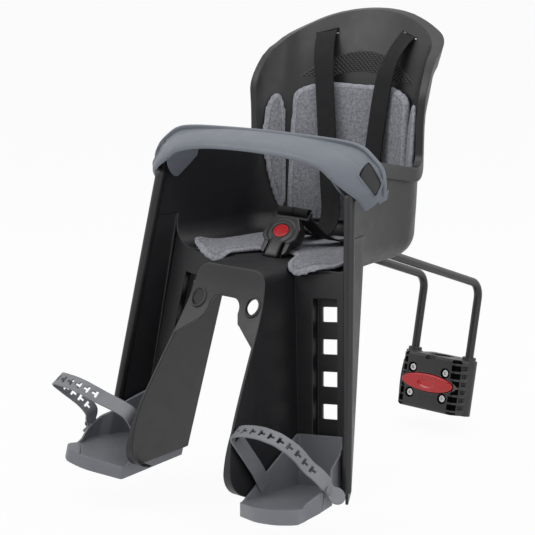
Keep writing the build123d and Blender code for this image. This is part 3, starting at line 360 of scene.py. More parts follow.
# The wells are also made metallic, which makes their black darker still: more painted shade
block_tree.links.new(block_wells(block_tree), block_tree.nodes["Principled BSDF"].inputs["Metallic"])
finish_material(
    "rod_black", mottled((0.010, 0.010, 0.011), (0.014, 0.014, 0.015), 40.0), rough_between(0.32, 0.40, 90.0),
    grain(700.0), 0.12, 0.0002)
finish_material(
    "liner_rubber", mottled(grey(0.02), grey(0.028), 50.0), rough_between(0.7, 0.85, 80.0),
    grain(800.0), 0.2, 0.0002)
finish_material(
    "button_red", mottled((0.48, 0.006, 0.010), (0.56, 0.010, 0.014), 25.0), rough_between(0.18, 0.26, 50.0),
    grain(300.0), 0.03, 0.0002, under=dished, Coat_Weight=0.2, Coat_Roughness=0.12)
finish_material(
    "steel", mottled((0.50, 0.50, 0.51), (0.62, 0.62, 0.63), 90.0), rough_between(0.22, 0.34, 200.0),
    grain(1500.0), 0.08, 0.0001, Metallic=1.0)
finish_material("pad_felt", felt, 0.95, grain(700.0), 0.6, 0.0008)
finish_material(
    "webbing", mottled((0.008, 0.008, 0.009), (0.014, 0.014, 0.015), 60.0), 0.8,
    weave, 0.8, 0.0005, Specular_IOR_Level=0.3)

# Shapes
HANDS = ((-1, "right"), (1, "left"))
BODY = {node: body for body, nodes in frame["record"]["behaviour"]["bodies"].items() for node in nodes}
SLOT = {part["node"]: part["material_slot"] for part in frame["record"]["subparts"]}
for name, piece in NODES.items():
    piece.data.materials.clear()
    piece.data.materials.append(MAT[SLOT[name]])


def show(mesh, name, node, replaces=()):
    """Links a finished mesh as a piece that rides with a CAD node's body."""
    made = bpy.data.objects.new(name, mesh)
    scene.collection.objects.link(made)
    mesh.materials.clear()
    mesh.materials.append(MAT[SLOT[node]])
    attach(made, BODY[node])
    if replaces:
        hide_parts(*replaces)
    return made


def finished(name, work):
    """A smooth mesh from a bmesh, with its faces turned outwards."""
    bmesh.ops.recalc_face_normals(work, faces=work.faces)
    bmesh.ops.triangulate(work, faces=[face for face in work.faces if len(face.verts) > 4])
    mesh = bpy.data.meshes.new(name)
    work.to_mesh(mesh)
    work.free()
    mesh.shade_smooth()
    return mesh


def mesh_of(name, verts, faces):
    """A smooth mesh of a bent strip or tube from places in mm."""
    work = bmesh.new()
    corners = [work.verts.new(Vector(v) * MM) for v in verts]
    for face in faces:
        work.faces.new([corners[k] for k in face])
    return finished(name, work)


def plate(name, outline, push):
    """A slab: the face of an outline in mm, pushed out."""
    work = bmesh.new()
    face = work.faces.new([work.verts.new(Vector(spot) * MM) for spot in outline])
    grown = bmesh.ops.extrude_face_region(work, geom=[face])["geom"]
    moved = [part for part in grown if isinstance(part, bmesh.types.BMVert)]
    bmesh.ops.translate(work, vec=Vector(push) * MM, verts=moved)
    return finished(name, work)


# Edges that turn by more than SHARP are rounded; places and faces closer than the next two values are joined first
SHARP = math.radians(35.0)
SAME_PLACE, SAME_PLANE = 2e-5, math.radians(0.6)


def bevel(made, width, segments=2):
    """Rounds the sharp edges of a piece by width in mm."""
    edges = made.modifiers.new("edges", "BEVEL")
    edges.affect = "EDGES"
    edges.limit_method = "ANGLE"
    edges.angle_limit = SHARP
    edges.width = width * MM
    edges.segments = segments
    edges.profile = 0.5
    edges.material = -1
    edges.use_clamp_overlap = False
    made.modifiers.new("normals", "WEIGHTED_NORMAL")


def rounded(node, width, segments=2, flat=True, shape=None):
    """A copy of a CAD node with its corners joined and its sharp edges rounded, shown in the node's place.

    Flat clears the edges inside flat faces first, and shape moves each place in mm.
    """
    mesh = NODES[node].data.copy()
    if "custom_normal" in mesh.attributes:
        mesh.attributes.remove(mesh.attributes["custom_normal"])
    work = bmesh.new()
    work.from_mesh(mesh)
    bmesh.ops.remove_doubles(work, verts=work.verts, dist=SAME_PLACE)
    if flat:
        bmesh.ops.dissolve_limit(work, angle_limit=SAME_PLANE, verts=work.verts, edges=work.edges)
    if shape:
        for vertex in work.verts:
            vertex.co = shape(vertex.co / MM) * MM
    for face in work.faces:
        face.smooth = True
    surface = BVHTree.FromBMesh(work)
    work.to_mesh(mesh)
    work.free()
    sharp = loose(node + "_sharp", mesh)
    bevel(sharp, width, segments)
    soft = applied(sharp)
    bpy.data.objects.remove(sharp)
    soft.name = node + "_soft"
    for vertex in soft.vertices:
        near, _, _, far = surface.find_nearest(vertex.co)
        if far > width * MM:
            vertex.co = near
    made = show(soft, node + "_soft", node, replaces=(node,))
    made.modifiers.new("normals", "WEIGHTED_NORMAL")
    return made


def smooth_line(points, steps):
    """Points on a smooth curve through the given ones, with steps between each pair."""
    spots = [Vector(p) for p in points]
    spots = [spots[0] * 2 - spots[1]] + spots + [spots[-1] * 2 - spots[-2]]
    line = []
    for p0, p1, p2, p3 in zip(spots, spots[1:], spots[2:], spots[3:]):
        for step in range(steps):
            t = step / steps
            bend = (p0 * 2 - p1 * 5 + p2 * 4 - p3) * t**2 + (p1 * 3 - p0 - p2 * 3 + p3) * t**3
            line.append(p1 + ((p2 - p0) * t + bend) / 2)
    return line + [spots[-2]]


def grid_faces(rows, columns, closed=False):
    """Quads of a grid whose vertices are listed row by row."""
    faces = []
    for row in range(rows - 1):
        for column in range(columns if closed else columns - 1):
            ahead = (column + 1) % columns
            faces.append((row * columns + column, row * columns + ahead,
                          (row + 1) * columns + ahead, (row + 1) * columns + column))
    return faces


def soften(corners, cut=0.11):
    """A closed outline with its corners cut back, each turn more finely."""
    for share in (cut, 0.25, 0.25):
        pairs = zip(corners, corners[1:] + corners[:1])
        corners = [spot for a, b in pairs for spot in (a.lerp(b, share), b.lerp(a, share))]
    return corners


def applied(made):
    """The mesh of an object with its modifiers made final."""
    bpy.context.view_layer.update()
    return bpy.data.meshes.new_from_object(made.evaluated_get(bpy.context.evaluated_depsgraph_get()))


def loose(name, mesh):
    """A working object that is taken away again."""
    made = bpy.data.objects.new(name, mesh)
    scene.collection.objects.link(made)
    return made


def surface_of(mesh):
    """A mesh's surface, for rays."""
    return BVHTree.FromPolygons([v.co for v in mesh.vertices], [p.vertices for p in mesh.polygons])


# The rails' frame, for the side of +X
RAIL_AT = Vector((135.47, -445.395, 0))
RAIL_X = Vector((0.99076, 0.02193, 0.13389))
RAIL_UP = Vector((-0.13567, 0.16011, 0.97773))
RAIL_OUT = Vector((0, -0.98686, 0.16161))
FLOOR_RISE, SKIRT_RISE = 9.0, 12.5
FLOOR_LEVEL, SKIRT_LEVEL = -10.0, -20.5


def on_rail(x, y, z, side):
    """A place in the rails' frame, mirrored for the side of -X."""
    spot = RAIL_AT + RAIL_X * x + RAIL_UP * y + RAIL_OUT * z
    return Vector((spot.x * side, spot.y, spot.z))


def ease(value):
    """0 below 0, 1 above 1 and smooth between."""
    value = min(max(value, 0.0), 1.0)
    return value * value * (3 - 2 * value)


def rear_skirt_up(spot):
    """Draws the footrest's skirt and floor up towards their rear."""
    away = Vector((abs(spot.x), spot.y, spot.z)) - RAIL_AT
    level, ahead = away.dot(RAIL_UP), away.dot(RAIL_OUT)
    if level < FLOOR_LEVEL:
        skirt = SKIRT_RISE if level < SKIRT_LEVEL else 0.0
        lift = RAIL_UP * (FLOOR_RISE * ease((88 - ahead) / 60) + skirt * ease((112 - ahead) / 40))
        spot = spot + Vector((math.copysign(lift.x, spot.x * lift.x), lift.y, lift.z))
    return spot


def bow(value):
    """Square of a value held between 0 and 1.3."""
    return min(max(value, 0.0), 1.3) ** 2


# The crown of the backrest: how far its rear corners, its crest and the tops of its wings move, in mm
CORNER_DEEPER, CORNER_WIDER, CREST_FALL, CREST_RISE, WING_FALL = 18.5, 13.0, 13.0, 5.0, 23.0


def crown(spot):
    """Fills out the rear corners of the backrest and lets its crest and its wings fall away in an arch."""
    x, y, z = spot
    wide, high = abs(x), ease((z - 420) / 50)
    deeper = CORNER_DEEPER * high * bow((wide - 60) / 63) * ease((y + 262) / 60)
    wider = CORNER_WIDER * high * (1 - 0.8 * ease((z - 482) / 45)) * ease((wide - 80) / 40) * ease((y + 240) / 50)
    lower = CREST_FALL * ease((z - 469) / 60) * bow(wide / 103) * ease((y + 225) / 45)
    higher = CREST_RISE * ease((z - 440) / 45) * ease((-158 - y) / 50)
    corner = WING_FALL * ease((z - 410) / 54) * ease((-236 - y) / 25)
    return Vector((x + math.copysign(wider, x), y + deeper, z - lower + higher - corner))


# The block's half height in mm, and the share by which its face is narrower at its top and bottom
BLOCK_HALF, TOP_PINCH, LOW_PINCH = 40.0, 0.10, 0.05


def barrel(spot):
    """Draws in the block's face towards its top and bottom."""
    x, y, z = spot
    ahead = z * math.sin(TUBE_LEAN) - y * math.cos(TUBE_LEAN)
    level = (y * math.sin(TUBE_LEAN) + z * math.cos(TUBE_LEAN)) / BLOCK_HALF
    pinch = (TOP_PINCH if level > 0 else LOW_PINCH) * level**2 * ease((ahead - 8) / 14)
    return Vector((x * (1 - pinch), y, z))


# Rounded copies of the moulded pieces
shell = rounded("seat_shell", 1.1, flat=False, shape=crown).data
facing = shell.attributes.new("facing", "FLOAT", "POINT")
facing.data.foreach_set("value", [max(-vertex.normal.y, 0.0) for vertex in shell.vertices])
for hand in ("left", "right"):
    rounded("footrest_" + hand, 1.0, flat=False, shape=rear_skirt_up)
    rounded("strap_stud_" + hand, 0.6)
rounded("block_front", 0.8, shape=barrel)
rounded("block_rear", 1.2)
rounded("release_button", 1.6, 4)
rounded("rod_plate", 0.6)
rounded("plate_screws", 0.4)
rounded("strap_slides", 0.7, shape=crown)
rounded("buckle_housing", 0.8)
rounded("buckle_button", 1.0, 3)
rounded("buckle_tongue", 0.8)
rounded("clamp_bolts", 0.5)
rounded("clamp_nuts", 0.4)

# Grab bar: rear and front edges as (part of the half span, y, z, depth turned down)
BAR_HALF, BAR_Y, BAR_STEPS = 148.0, -424.29, 10
BAR_REAR = (
    (0.0, 32.0, 413.0, 8.0), (0.51, 32.0, 412.0, 8.0), (0.84, 32.0, 410.0, 8.0), (1.014, 30.5, 405.5, 7.5),
    (1.139, 29.0, 394.0, 7.0), (1.23, 28.0, 381.0, 6.0), (1.267, 26.0, 364.0, 5.0), (1.243, 30.0, 350.0, 4.6))
BAR_FRONT = (
    (0.0, -17.0, 397.5, 8.5), (0.44, -16.5, 395.0, 8.5), (0.757, -14.5, 385.5, 8.0), (0.892, -14.0, 372.5, 7.0),
    (0.993, -12.0, 362.5, 6.0), (1.061, -8.5, 354.5, 5.0), (1.122, -3.0, 345.5, 4.6), (1.142, 9.0, 330.0, 4.6))
# Windows in the bar's ends: outline, place along the bar, rim as (outwards, up); then caps, hooks and cheeks
WINDOW = ((-17.0, -25.0), (-15.0, 7.6), (1.4, 17.2), (4.4, -16.4))
WINDOW_AT = 5.3
WINDOW_RIM = ((-0.3, -3.0), (-0.3, 0.5), (0.5, 1.2), (1.9, 1.1), (2.7, 0.2), (2.8, -0.8))
RIM_PROBE, CUT_REACH = 14.0, 10.0
CAP_SHARE, CAP_LOW, CAP_TOP = 0.94, -8.0, -3.2
HOOK, HOOK_IN, HOOK_OUT = ((183, -391, 356), (178, -401, 350), (176, -402, 339), (181, -392, 344)), -2.0, 2.5
CHEEK_HALF = 1.5
BAR_LINES = {}
for label, line in (("rear", BAR_REAR), ("front", BAR_FRONT)):
    right = [Vector((part * BAR_HALF, BAR_Y + y, z, deep)) for part, y, z, deep in line]
    left = [Vector((-v[0], v[1], v[2], v[3])) for v in reversed(right[1:])]
    BAR_LINES[label] = smooth_line(left + right, BAR_STEPS)


def bar_place(index):
    """Rear corner, direction to the front, outward direction, width and both turned depths at one station."""
    rear, front = BAR_LINES["rear"], BAR_LINES["front"]
    last = len(rear) - 1
    a, b = max(index - 2, 0), min(index + 2, last)
    along = (rear[b] + front[b] - rear[a] - front[a]).xyz
    reach = (front[index] - rear[index]).xyz
    out = along.cross(reach).normalized() * -1
    return rear[index].xyz, reach.normalized(), out, reach.length, rear[index].w, front[index].w


def bar_profile(wide, lip, roll, scoop):
    """The bar's section: a rear ridge, a groove that opens to a scoop, a flat top and a rolled front."""
    step = 8.5 + 15.0 * scoop
    deep = 1.9 + 1.8 * scoop
    outer = [
        (1.0, -lip), (0.1, -lip + 0.8), (0.0, -3.0), (0.3, -1.2), (1.3, -0.1), (3.0, 0.3), (4.6, 0.0), (5.3, -0.9),
        (6.0, -deep), (6.6, -deep - 0.1), (0.5 * (6.6 + step), -0.7 * deep), (step - 0.8, -0.55 * deep), (step, -0.4),
        (step + 1.0, -0.1), (0.62 * wide, 0.2), (0.74 * wide, 0.0), (wide - 8, -0.09 * roll), (wide - 5, -0.19 * roll),
        (wide - 2.6, -0.36 * roll), (wide - 0.8, -0.62 * roll), (wide, -0.86 * roll), (wide - 0.6, -0.97 * roll),
        (wide - 1.8, -roll)]
    inner = [
        (wide - 3.2, -0.96 * roll), (wide - 4.2, -0.85 * roll), (wide - 6.5, -4.6), (0.6 * wide, -4.8),
        (0.4 * wide, -5.4), (10.0, -5.6), (5.0, -5.0), (3.8, -lip + 0.7), (3.0, -lip)]
    return outer + inner


def make_bar():
    """The bar without its windows: the section carried along it and closed at both ends."""
    rows = []
    count = len(BAR_LINES["rear"])
    for index in range(count):
        rear, reach, out, wide, lip, roll = bar_place(index)
        along = abs(index - (count - 1) / 2) / BAR_STEPS
        scoop = ease((along - 0.5) / 1.8) * ease((4.9 - along) / 1.2)
        rows.append([rear + reach * u + out * h for u, h in bar_profile(wide, lip, roll, scoop)])
    columns = len(rows[0])
    faces = grid_faces(count, columns, closed=True)
    faces += [tuple(range(columns)), tuple(range((count - 1) * columns, count * columns))]
    return mesh_of("grab_bar_shape", [v for row in rows for v in row], faces)


def window_frame(side):
    """Middle of the window in one end of the bar, with its direction to the front, along the bar and outward."""
    index = round((len(BAR_LINES["rear"]) - 1) / 2 + side * WINDOW_AT * BAR_STEPS)
    rear, reach, out, wide, _, _ = bar_place(index)
    return rear + reach * (wide / 2), reach, out.cross(reach) * side, out


def at_window(place, spot, height):
    """A place by a window of the bar, from its frame, flat place and height off the bar."""
    middle, reach, down, out = place
    return middle + reach * spot.x + down * spot.y + out * height


bar = loose("bar_work", make_bar())
bar_surface = surface_of(bar.data)
opening = soften([Vector(spot) for spot in WINDOW])
cutters = []
for side, _ in HANDS:
    place = window_frame(side)
    outline = [at_window(place, spot, -CUT_REACH) for spot in opening]
    cutters.append(loose("bar_cutter", plate("bar_cutter", outline, place[3] * 2 * CUT_REACH)))
    cut = bar.modifiers.new("window", "BOOLEAN")
    cut.operation = "DIFFERENCE"
    cut.solver = "EXACT"
    cut.object = cutters[-1]
bar_mesh = applied(bar)
for made in [bar] + cutters:
    bpy.data.objects.remove(made)
bar_mesh.set_sharp_from_angle(angle=math.radians(40))
show(bar_mesh, "grab_bar_moulding", "grab_bar", replaces=("grab_bar",))
centre = sum(opening, Vector((0, 0))) / len(opening)
for side, hand in HANDS:
    place = window_frame(side)
    out = place[3]
    verts = []
    for grow, height in WINDOW_RIM:
        for spot in opening:
            start = at_window(place, spot + (spot - centre).normalized() * grow, RIM_PROBE)
            hit = bar_surface.ray_cast(start * MM, out * -1)[0]
            verts.append((hit / MM if hit else start - out * RIM_PROBE) + out * height)
    mesh = mesh_of("bar_window_rim", verts, grid_faces(len(WINDOW_RIM), len(opening), closed=True))
    show(mesh, "bar_window_rim_" + hand, "grab_bar")

# Black caps in the windows and small hooks at the bar's rear ends
for side, hand in HANDS:
    place = window_frame(side)
    outline = [at_window(place, spot * CAP_SHARE, CAP_LOW) for spot in opening]
    cap = plate("catch_cap", outline, place[3] * (CAP_TOP - CAP_LOW))
    bevel(show(cap, "catch_cap_" + hand, "seat_shell"), 1.2)
    outline = [((x + HOOK_IN) * side, y, z) for x, y, z in HOOK]
    hook = plate("bar_hook", outline, (side * (HOOK_OUT - HOOK_IN), 0, 0))
    bevel(show(hook, "bar_hook_" + hand, "grab_bar"), 0.8)

# Cheeks under the bar's front
for side, hand in HANDS:
    front, low = Vector((132, -436, 371)), Vector((140, -409, 343))
    behind, top = Vector((112, -399, 372)), Vector((104, -396, 403))
    rim = smooth_line((front, (138, -424, 353), low, (129, -403, 354), behind), 5) + [top]
    off = (front - low).cross(behind - low).normalized() * CHEEK_HALF
    outline = [Vector((v.x * side, v.y, v.z)) for v in (spot - off for spot in rim)]
    cheek = plate("bar_cheek", outline, Vector((off.x * side, off.y, off.z)) * 2)
    bevel(show(cheek, "bar_cheek_" + hand, "grab_bar"), 0.6)


# Webbing: flat ribbons with their own coordinates for the weave
WEB_WIDE, WEB_THICK, WEB_STEPS = 28.0, 1.6, 8
WEB_PARTS = (-0.5, -0.47, -0.3, -0.1, 0.1, 0.3, 0.47, 0.5)


def ribbon(node, points, sides, wide):
    """A flat strap through points in a CAD strap's place, with its width and width direction at each of them."""
    name = node + "_webbing"
    line = smooth_line(points, WEB_STEPS)
    across = smooth_line(sides, WEB_STEPS)
    wides = smooth_line([Vector((w, 0)) for w in wide], WEB_STEPS)
    verts, spread, length = [], [], 0.0
    for index, place in enumerate(line):
        ahead = line[min(index + 1, len(line) - 1)] - line[max(index - 1, 0)]
        side = across[index] - ahead * (across[index].dot(ahead) / ahead.dot(ahead))
        side.normalize()
        if index:
            length += (place - line[index - 1]).length
        for part in WEB_PARTS:
            verts.append(place + side * (part * wides[index].x))
            spread.append((part * wides[index].x * MM, length * MM))
    mesh = mesh_of(name, verts, grid_faces(len(line), len(WEB_PARTS)))
    layer = mesh.uv_layers.new(name="weave")
    for loop in mesh.loops:
        layer.data[loop.index].uv = spread[loop.vertex_index]
    made = show(mesh, name, node, replaces=(node,))
    body = made.modifiers.new("thickness", "SOLIDIFY")
    body.thickness = WEB_THICK * MM
    body.offset = 0.0


BUCKLE_LEAN = math.radians(38.0)
BUCKLE_Y, BUCKLE_Z = -365.0, 281.0


def at_buckle(x, y, z):
    """A place in the buckle's leaning frame: x to the side, y up along it, z out of its face."""
    lean, upright = math.sin(BUCKLE_LEAN), math.cos(BUCKLE_LEAN)
    return Vector((x, BUCKLE_Y + y * lean - z * upright, BUCKLE_Z + y * upright + z * lean))


# The straps' lines, and how each goes round the loop of the buckle: EYE up along it, MID below its face
EYE, MID = 29.5, -9.5
WRAP = ((EYE, MID - 8), (EYE, MID), (EYE + 1, MID + 4), (EYE + 6, MID + 4.6), (38.5, MID), (EYE + 4, MID - 5))
STRAPS = {
    "shoulder_strap_left": (
        [(66, -176, 523), (65, -190, 519), (56, -206, 490), (48, -215, 458), (42, -223.5, 392), (38, -229, 330),
         (40, -236, 290), (46, -258, 264), (45, -292, 262), (30, -318, 272)], 1),
    "shoulder_strap_right": (
        [(-66, -176, 523), (-65, -190, 519), (-57, -206, 490), (-49, -215, 458), (-38, -223.5, 392), (-29, -229, 325),
         (-18, -240, 282), (-10, -270, 263), (-10, -300, 266), (-12, -322, 278)], -1),
}
for name, (points, side) in STRAPS.items():
    points = [crown(Vector(p)) for p in points] + [at_buckle(side * 12.5, y, z) for y, z in WRAP]
    sides = [Vector((0.93, -0.36 * side, -0.2 * side))] * 3 + [Vector((1, -0.1 * side, 0))] * (len(points) - 3)
    ribbon(name, points, sides, [WEB_WIDE] * 9 + [25.0] + [23.8] * 6)
crotch = [Vector((0, -381, 233)), Vector((0, -381, 246)), Vector((0, -379.5, 253))]
crotch += [at_buckle(0, -20, MID), at_buckle(0, -9, MID)]
ribbon("crotch_strap", crotch, [Vector((1, 0, 0))] * 5, [WEB_WIDE] * 5)


# Buckle cover: a raised keyhole round the button, with a tail between two prongs
COVER_WIDE, COVER_HIGH, TAIL_HALF, TAIL_LONG = 22.5, 18.5, 10.5, 37.0
COVER_STEPS = 96
BUTTON_RINGS = ((12.5, 9.5, -6.0), (12.5, 9.5, 1.0), (13.0, 10.0, 1.6), (14.2, 11.2, 1.9))
COVER_LEAST = (14.8, 11.8)
COVER_RINGS = ((0.86, 1.5), (0.94, 0.9), (0.985, -0.2), (1.0, -1.6), (1.0, -6.0))
PRONG, PRONG_LOW, PRONG_TOP = ((13.2, -12), (21.5, -9), (20.5, -30), (14.0, -33)), -8.5, -1.2


def cover_edge(angle):
    """The cover's outline: its distance from the middle of the button."""
    c, s = math.cos(angle), math.sin(angle)
    edge = 1 / math.sqrt((c / COVER_WIDE) ** 2 + (s / COVER_HIGH) ** 2)
    if s < 0:
        edge = max(edge, min(TAIL_HALF / max(abs(c), 0.01), TAIL_LONG / abs(s)))
    return edge


def ellipse(angle, a, b):
    """A place on an ellipse."""
    return Vector((a * math.cos(angle), b * math.sin(angle)))


angles = [2 * math.pi * k / COVER_STEPS for k in range(COVER_STEPS)]
rows = [[(*ellipse(t, a, b), z) for t in angles] for a, b, z in BUTTON_RINGS]
for scale, z in COVER_RINGS:
    row = []
    for t in angles:
        spot = Vector((math.cos(t), math.sin(t))) * (cover_edge(t) * scale)
        inner = ellipse(t, *COVER_LEAST)
        row.append((*(spot if spot.length > inner.length else inner), z))
    rows.append(row)
rows.append(rows[0])
verts = [at_buckle(*v) for row in rows[:-1] for v in row]
faces = [tuple(k % len(verts) for k in face) for face in grid_faces(len(rows), COVER_STEPS, closed=True)]
show(mesh_of("buckle_cover", verts, faces), "buckle_cover", "buckle_housing")
push = at_buckle(0, 0, PRONG_TOP) - at_buckle(0, 0, PRONG_LOW)
for side, hand in HANDS:
    ring = soften([Vector((side * x, y)) for x, y in PRONG], 0.16)
    prong = plate("buckle_prong", [at_buckle(*spot, PRONG_LOW) for spot in ring], push)
    bevel(show(prong, "buckle_prong_" + hand, "buckle_housing"), 0.9)

# Foot straps: a flat strip with keyholes, bent to its loop; points are (across, up the loop, rise of its plane)
STRAP_LINES = {
    "left": (
        (63, -15, 55), (56.5, -7, 55), (50.5, 0, 55), (48.8, 8, 55), (46, 17, 55), (41, 25, 55), (35, 32, 55),
        (31, 40, 55), (27, 51, 55), (20, 61, 55), (13, 67, 55), (5, 73, 55), (-5, 77, 55), (-14, 80, 55),
        (-26, 81.5, 55), (-39, 81.5, 55), (-50, 80, 55), (-55.5, 77.5, 55), (-57.5, 73, 55), (-57, 66, 55),
        (-52, 40, 55), (-48.5, 20, 55), (-48.8, 4, 55), (-48.8, -5, 55)),
    "right": (
        (63, -15, 60), (56.5, -7, 60), (50.5, 0, 60), (48.8, 8, 62), (46.5, 16, 63), (45.5, 24, 62), (52, 36.5, 58),
        (60, 49.5, 53), (65, 61.3, 49), (68.5, 75, 46), (69, 81, 45), (66, 85.5, 45), (59, 88, 45), (50.6, 89.6, 45),
        (36, 89.4, 46), (21, 86.6, 47), (7, 81.6, 48), (-4.6, 74.6, 50), (-17.5, 69.5, 52), (-32.3, 64.1, 54),
        (-42.9, 58, 55), (-48, 46, 55), (-49, 25, 55), (-48.8, 4, 55), (-48.8, -5, 55)),
}
# The loop's place on its footrest; the strip's keyholes, tail, neck and band, in mm or as shares of its half width
LOOP_X, LOOP_Y, LOOP_Z = 12.6, 2.0, 72.0
BAND_THICK = 2.6
STEM_SHARE, SLIT_SHARE = 0.16, 0.46
STRAP_PARTS = (-1.0, -0.93, -SLIT_SHARE, -STEM_SHARE, STEM_SHARE, SLIT_SHARE, 0.93, 1.0)
HOLES = [48 + 12.6 * k for k in range(11)]
STEM, SLIT = 4.8, 8.2
TAIL_R, NECK_END, BAND_START = 11.0, 22.0, 34.0
NECK_HALF, BAND_HALF = 7.5, 10.0


def swing(low, high, share):
    """From high at share 0 to low at share 1, smooth at both ends."""
    return (high + low) / 2 + (high - low) / 2 * math.cos(share * math.pi)


def strap_half(run):
    """Half the strap's width: a round tail, a neck and then the band."""
    if run < TAIL_R:
        return max(math.sqrt(max(TAIL_R**2 - (TAIL_R - run) ** 2, 0)), 1.5)
    if run < NECK_END:
        return swing(NECK_HALF, TAIL_R, (run - TAIL_R) / (NECK_END - TAIL_R))
    return swing(BAND_HALF, NECK_HALF, (min(run, BAND_START) - NECK_END) / (BAND_START - NECK_END))


def in_hole(run, off):
    """Whether a place on the flat strip is in one of its keyholes: a stem and a slit across its end."""
    starts = [start for start in HOLES if start < run < start + SLIT]
    return bool(starts) and off < (STEM_SHARE if run < starts[0] + STEM else SLIT_SHARE)


for side, hand in reversed(HANDS):
    line = smooth_line(STRAP_LINES[hand], 8)
    turns = [math.radians(rise) for _, _, rise in line]
    line = [Vector((LOOP_X + a, LOOP_Y + b * math.sin(t), LOOP_Z + b * math.cos(t)))
            for (a, b, _), t in zip(line, turns)]
    ends = [0.0]
    for spot, ahead in zip(line, line[1:]):
        ends.append(ends[-1] + (ahead - spot).length)
    runs = {0.0, 0.4, 1.2, 2.5, 4.0, 6.0, 8.0, ends[-1]}
    runs |= {start + part for start in HOLES for part in (0.0, STEM, SLIT)}
    runs |= {2.0 * k for k in range(5, int(ends[-1] / 2))
             if all(not start - 1 < 2 * k < start + SLIT + 1 for start in HOLES)}
    runs = sorted(runs)
    verts = []
    for run in runs:
        index = next(k for k, end in enumerate(ends) if end >= run - 1e-6)
        before = max(index - 1, 0)
        share = (run - ends[before]) / max(ends[index] - ends[before], 1e-6)
        spot = line[before].lerp(line[index], share)
        ahead = (line[min(index + 1, len(line) - 1)] - line[before]).normalized()
        wide = Vector((0, -math.cos(turns[index]), math.sin(turns[index])))
        wide = (wide - ahead * wide.dot(ahead)).normalized() * strap_half(run)
        verts += [on_rail(*(spot + wide * part), side) for part in STRAP_PARTS]
    faces = []
    for face in grid_faces(len(runs), len(STRAP_PARTS)):
        row, column = divmod(face[0], len(STRAP_PARTS))
        if not in_hole((runs[row] + runs[row + 1]) / 2, abs(STRAP_PARTS[column] + STRAP_PARTS[column + 1]) / 2):
            faces.append(face)
    name = "foot_strap_" + hand
    strap = show(mesh_of(name, verts, faces), name + "_band", name, replaces=(name,))
    thick = strap.modifiers.new("thickness", "SOLIDIFY")
    thick.thickness = BAND_THICK * MM
    thick.offset = 0.0
    bevel(strap, 0.5)

# Raised rims round the two holes of the pommel's flaps
FLAP_X, FLAP_Y, FLAP_Z, FLAP_SLOPE = 43.9, -476.4, 208.0, 0.4
FLAP_OUT = Vector((0, -0.92, 0.38))
FLAP_RIM = ((9.0, -2.5), (9.0, 0.9), (9.5, 1.5), (11.6, 1.5), (12.3, 0.8), (12.5, -0.8))
FLAP_REACH, FLAP_STEPS, FLAP_BEHIND = 12.5, 40, -440.0
shell_surface = surface_of(NODES["seat_shell"].data)
for side, hand in HANDS:
    verts = []
    for radius, height in FLAP_RIM:
        for k in range(FLAP_STEPS):
            turn = 2 * math.pi * k / FLAP_STEPS
            along, up = math.cos(turn), math.sin(turn)
            probe = Vector((side * FLAP_X + FLAP_REACH * along, -640, FLAP_Z + FLAP_REACH * up))
            hit = shell_surface.ray_cast(probe * MM, Vector((0, 1, 0)))[0]
            seen = hit and hit.y / MM < FLAP_BEHIND
            y = hit.y / MM if seen else FLAP_Y + (probe.z - FLAP_Z) * FLAP_SLOPE
            verts.append(Vector((side * FLAP_X + radius * along, y, FLAP_Z + radius * up)) + FLAP_OUT * height)
    mesh = mesh_of("flap_rim", verts, grid_faces(len(FLAP_RIM), FLAP_STEPS, closed=True))
    show(mesh, "flap_rim_" + hand, "seat_shell")


# Cushions: slabs puffed by cloth pressure while flat, then laid on their places; lengths in mm
VOXEL, SKIN, PRESSURE, STIFF, PUFF_FRAMES = 3.5, 0.6, 4.0, 12.0, 15
SIDEWAYS, SEAM_IN, SEAM_HALF, SEAM_DEEP, PAD_LEAST = 0.4, 8.0, 1.6, 0.9, 0.2


def stuffed(node, outline, thick, swell, lay):
    """A felt pad of an outline in mm: remeshed, puffed, capped at swell and laid by lay(u, v, height)."""
    name = node + "_felt"
    slab = plate(name, [(*spot, SKIN) for spot in outline], (0, 0, thick - 2 * SKIN))
    work = loose(name + "_work", slab)
    remesh = work.modifiers.new("remesh", "REMESH")
    remesh.mode = "VOXEL"
    remesh.voxel_size = VOXEL * MM
    mesh = applied(work)
    bpy.data.objects.remove(work)
    start = [v.co / MM for v in mesh.vertices]
    end = start
    cloth = loose(name + "_cloth", mesh)
    made = cloth.modifiers.new("cloth", "CLOTH")
    made.settings.use_pressure = True
    made.settings.uniform_pressure_force = PRESSURE
    made.settings.effector_weights.gravity = 0.0
    made.settings.tension_stiffness = STIFF
    made.settings.compression_stiffness = STIFF
    for step in range(1, PUFF_FRAMES + 1):
        scene.frame_set(step)
    end = [v.co / MM for v in applied(cloth).vertices]
    scene.frame_set(1)
    bpy.data.objects.remove(cloth)
    ring = [Vector(spot) for spot in outline]
    edge = []
    for vertex, a, b in zip(mesh.vertices, start, end):
        move = b - a
        move.x, move.y = move.x * SIDEWAYS, move.y * SIDEWAYS
        if move.length > swell:
            move *= swell / move.length
        spot = a + move
        flat = Vector((a.x, a.y))
        far = min((flat - ring_point(p, q, flat)).length for p, q in zip(ring, ring[1:] + ring[:1]))
        edge.append(far)
        if a.z > thick / 2:
            spot.z -= SEAM_DEEP * math.exp(-(((far - SEAM_IN) / SEAM_HALF) ** 2))
        vertex.co = lay(spot.x, spot.y, max(spot.z, PAD_LEAST)) * MM
    mesh.shade_smooth()
    layer = mesh.attributes.new("edge", "FLOAT", "POINT")
    layer.data.foreach_set("value", edge)
    work = bmesh.new()
    work.from_mesh(mesh)
    bmesh.ops.recalc_face_normals(work, faces=work.faces)
    work.to_mesh(mesh)
    work.free()
    made = show(mesh, name, node, replaces=(node,))
    finer = made.modifiers.new("finer", "SUBSURF")
    finer.levels = finer.render_levels = 1


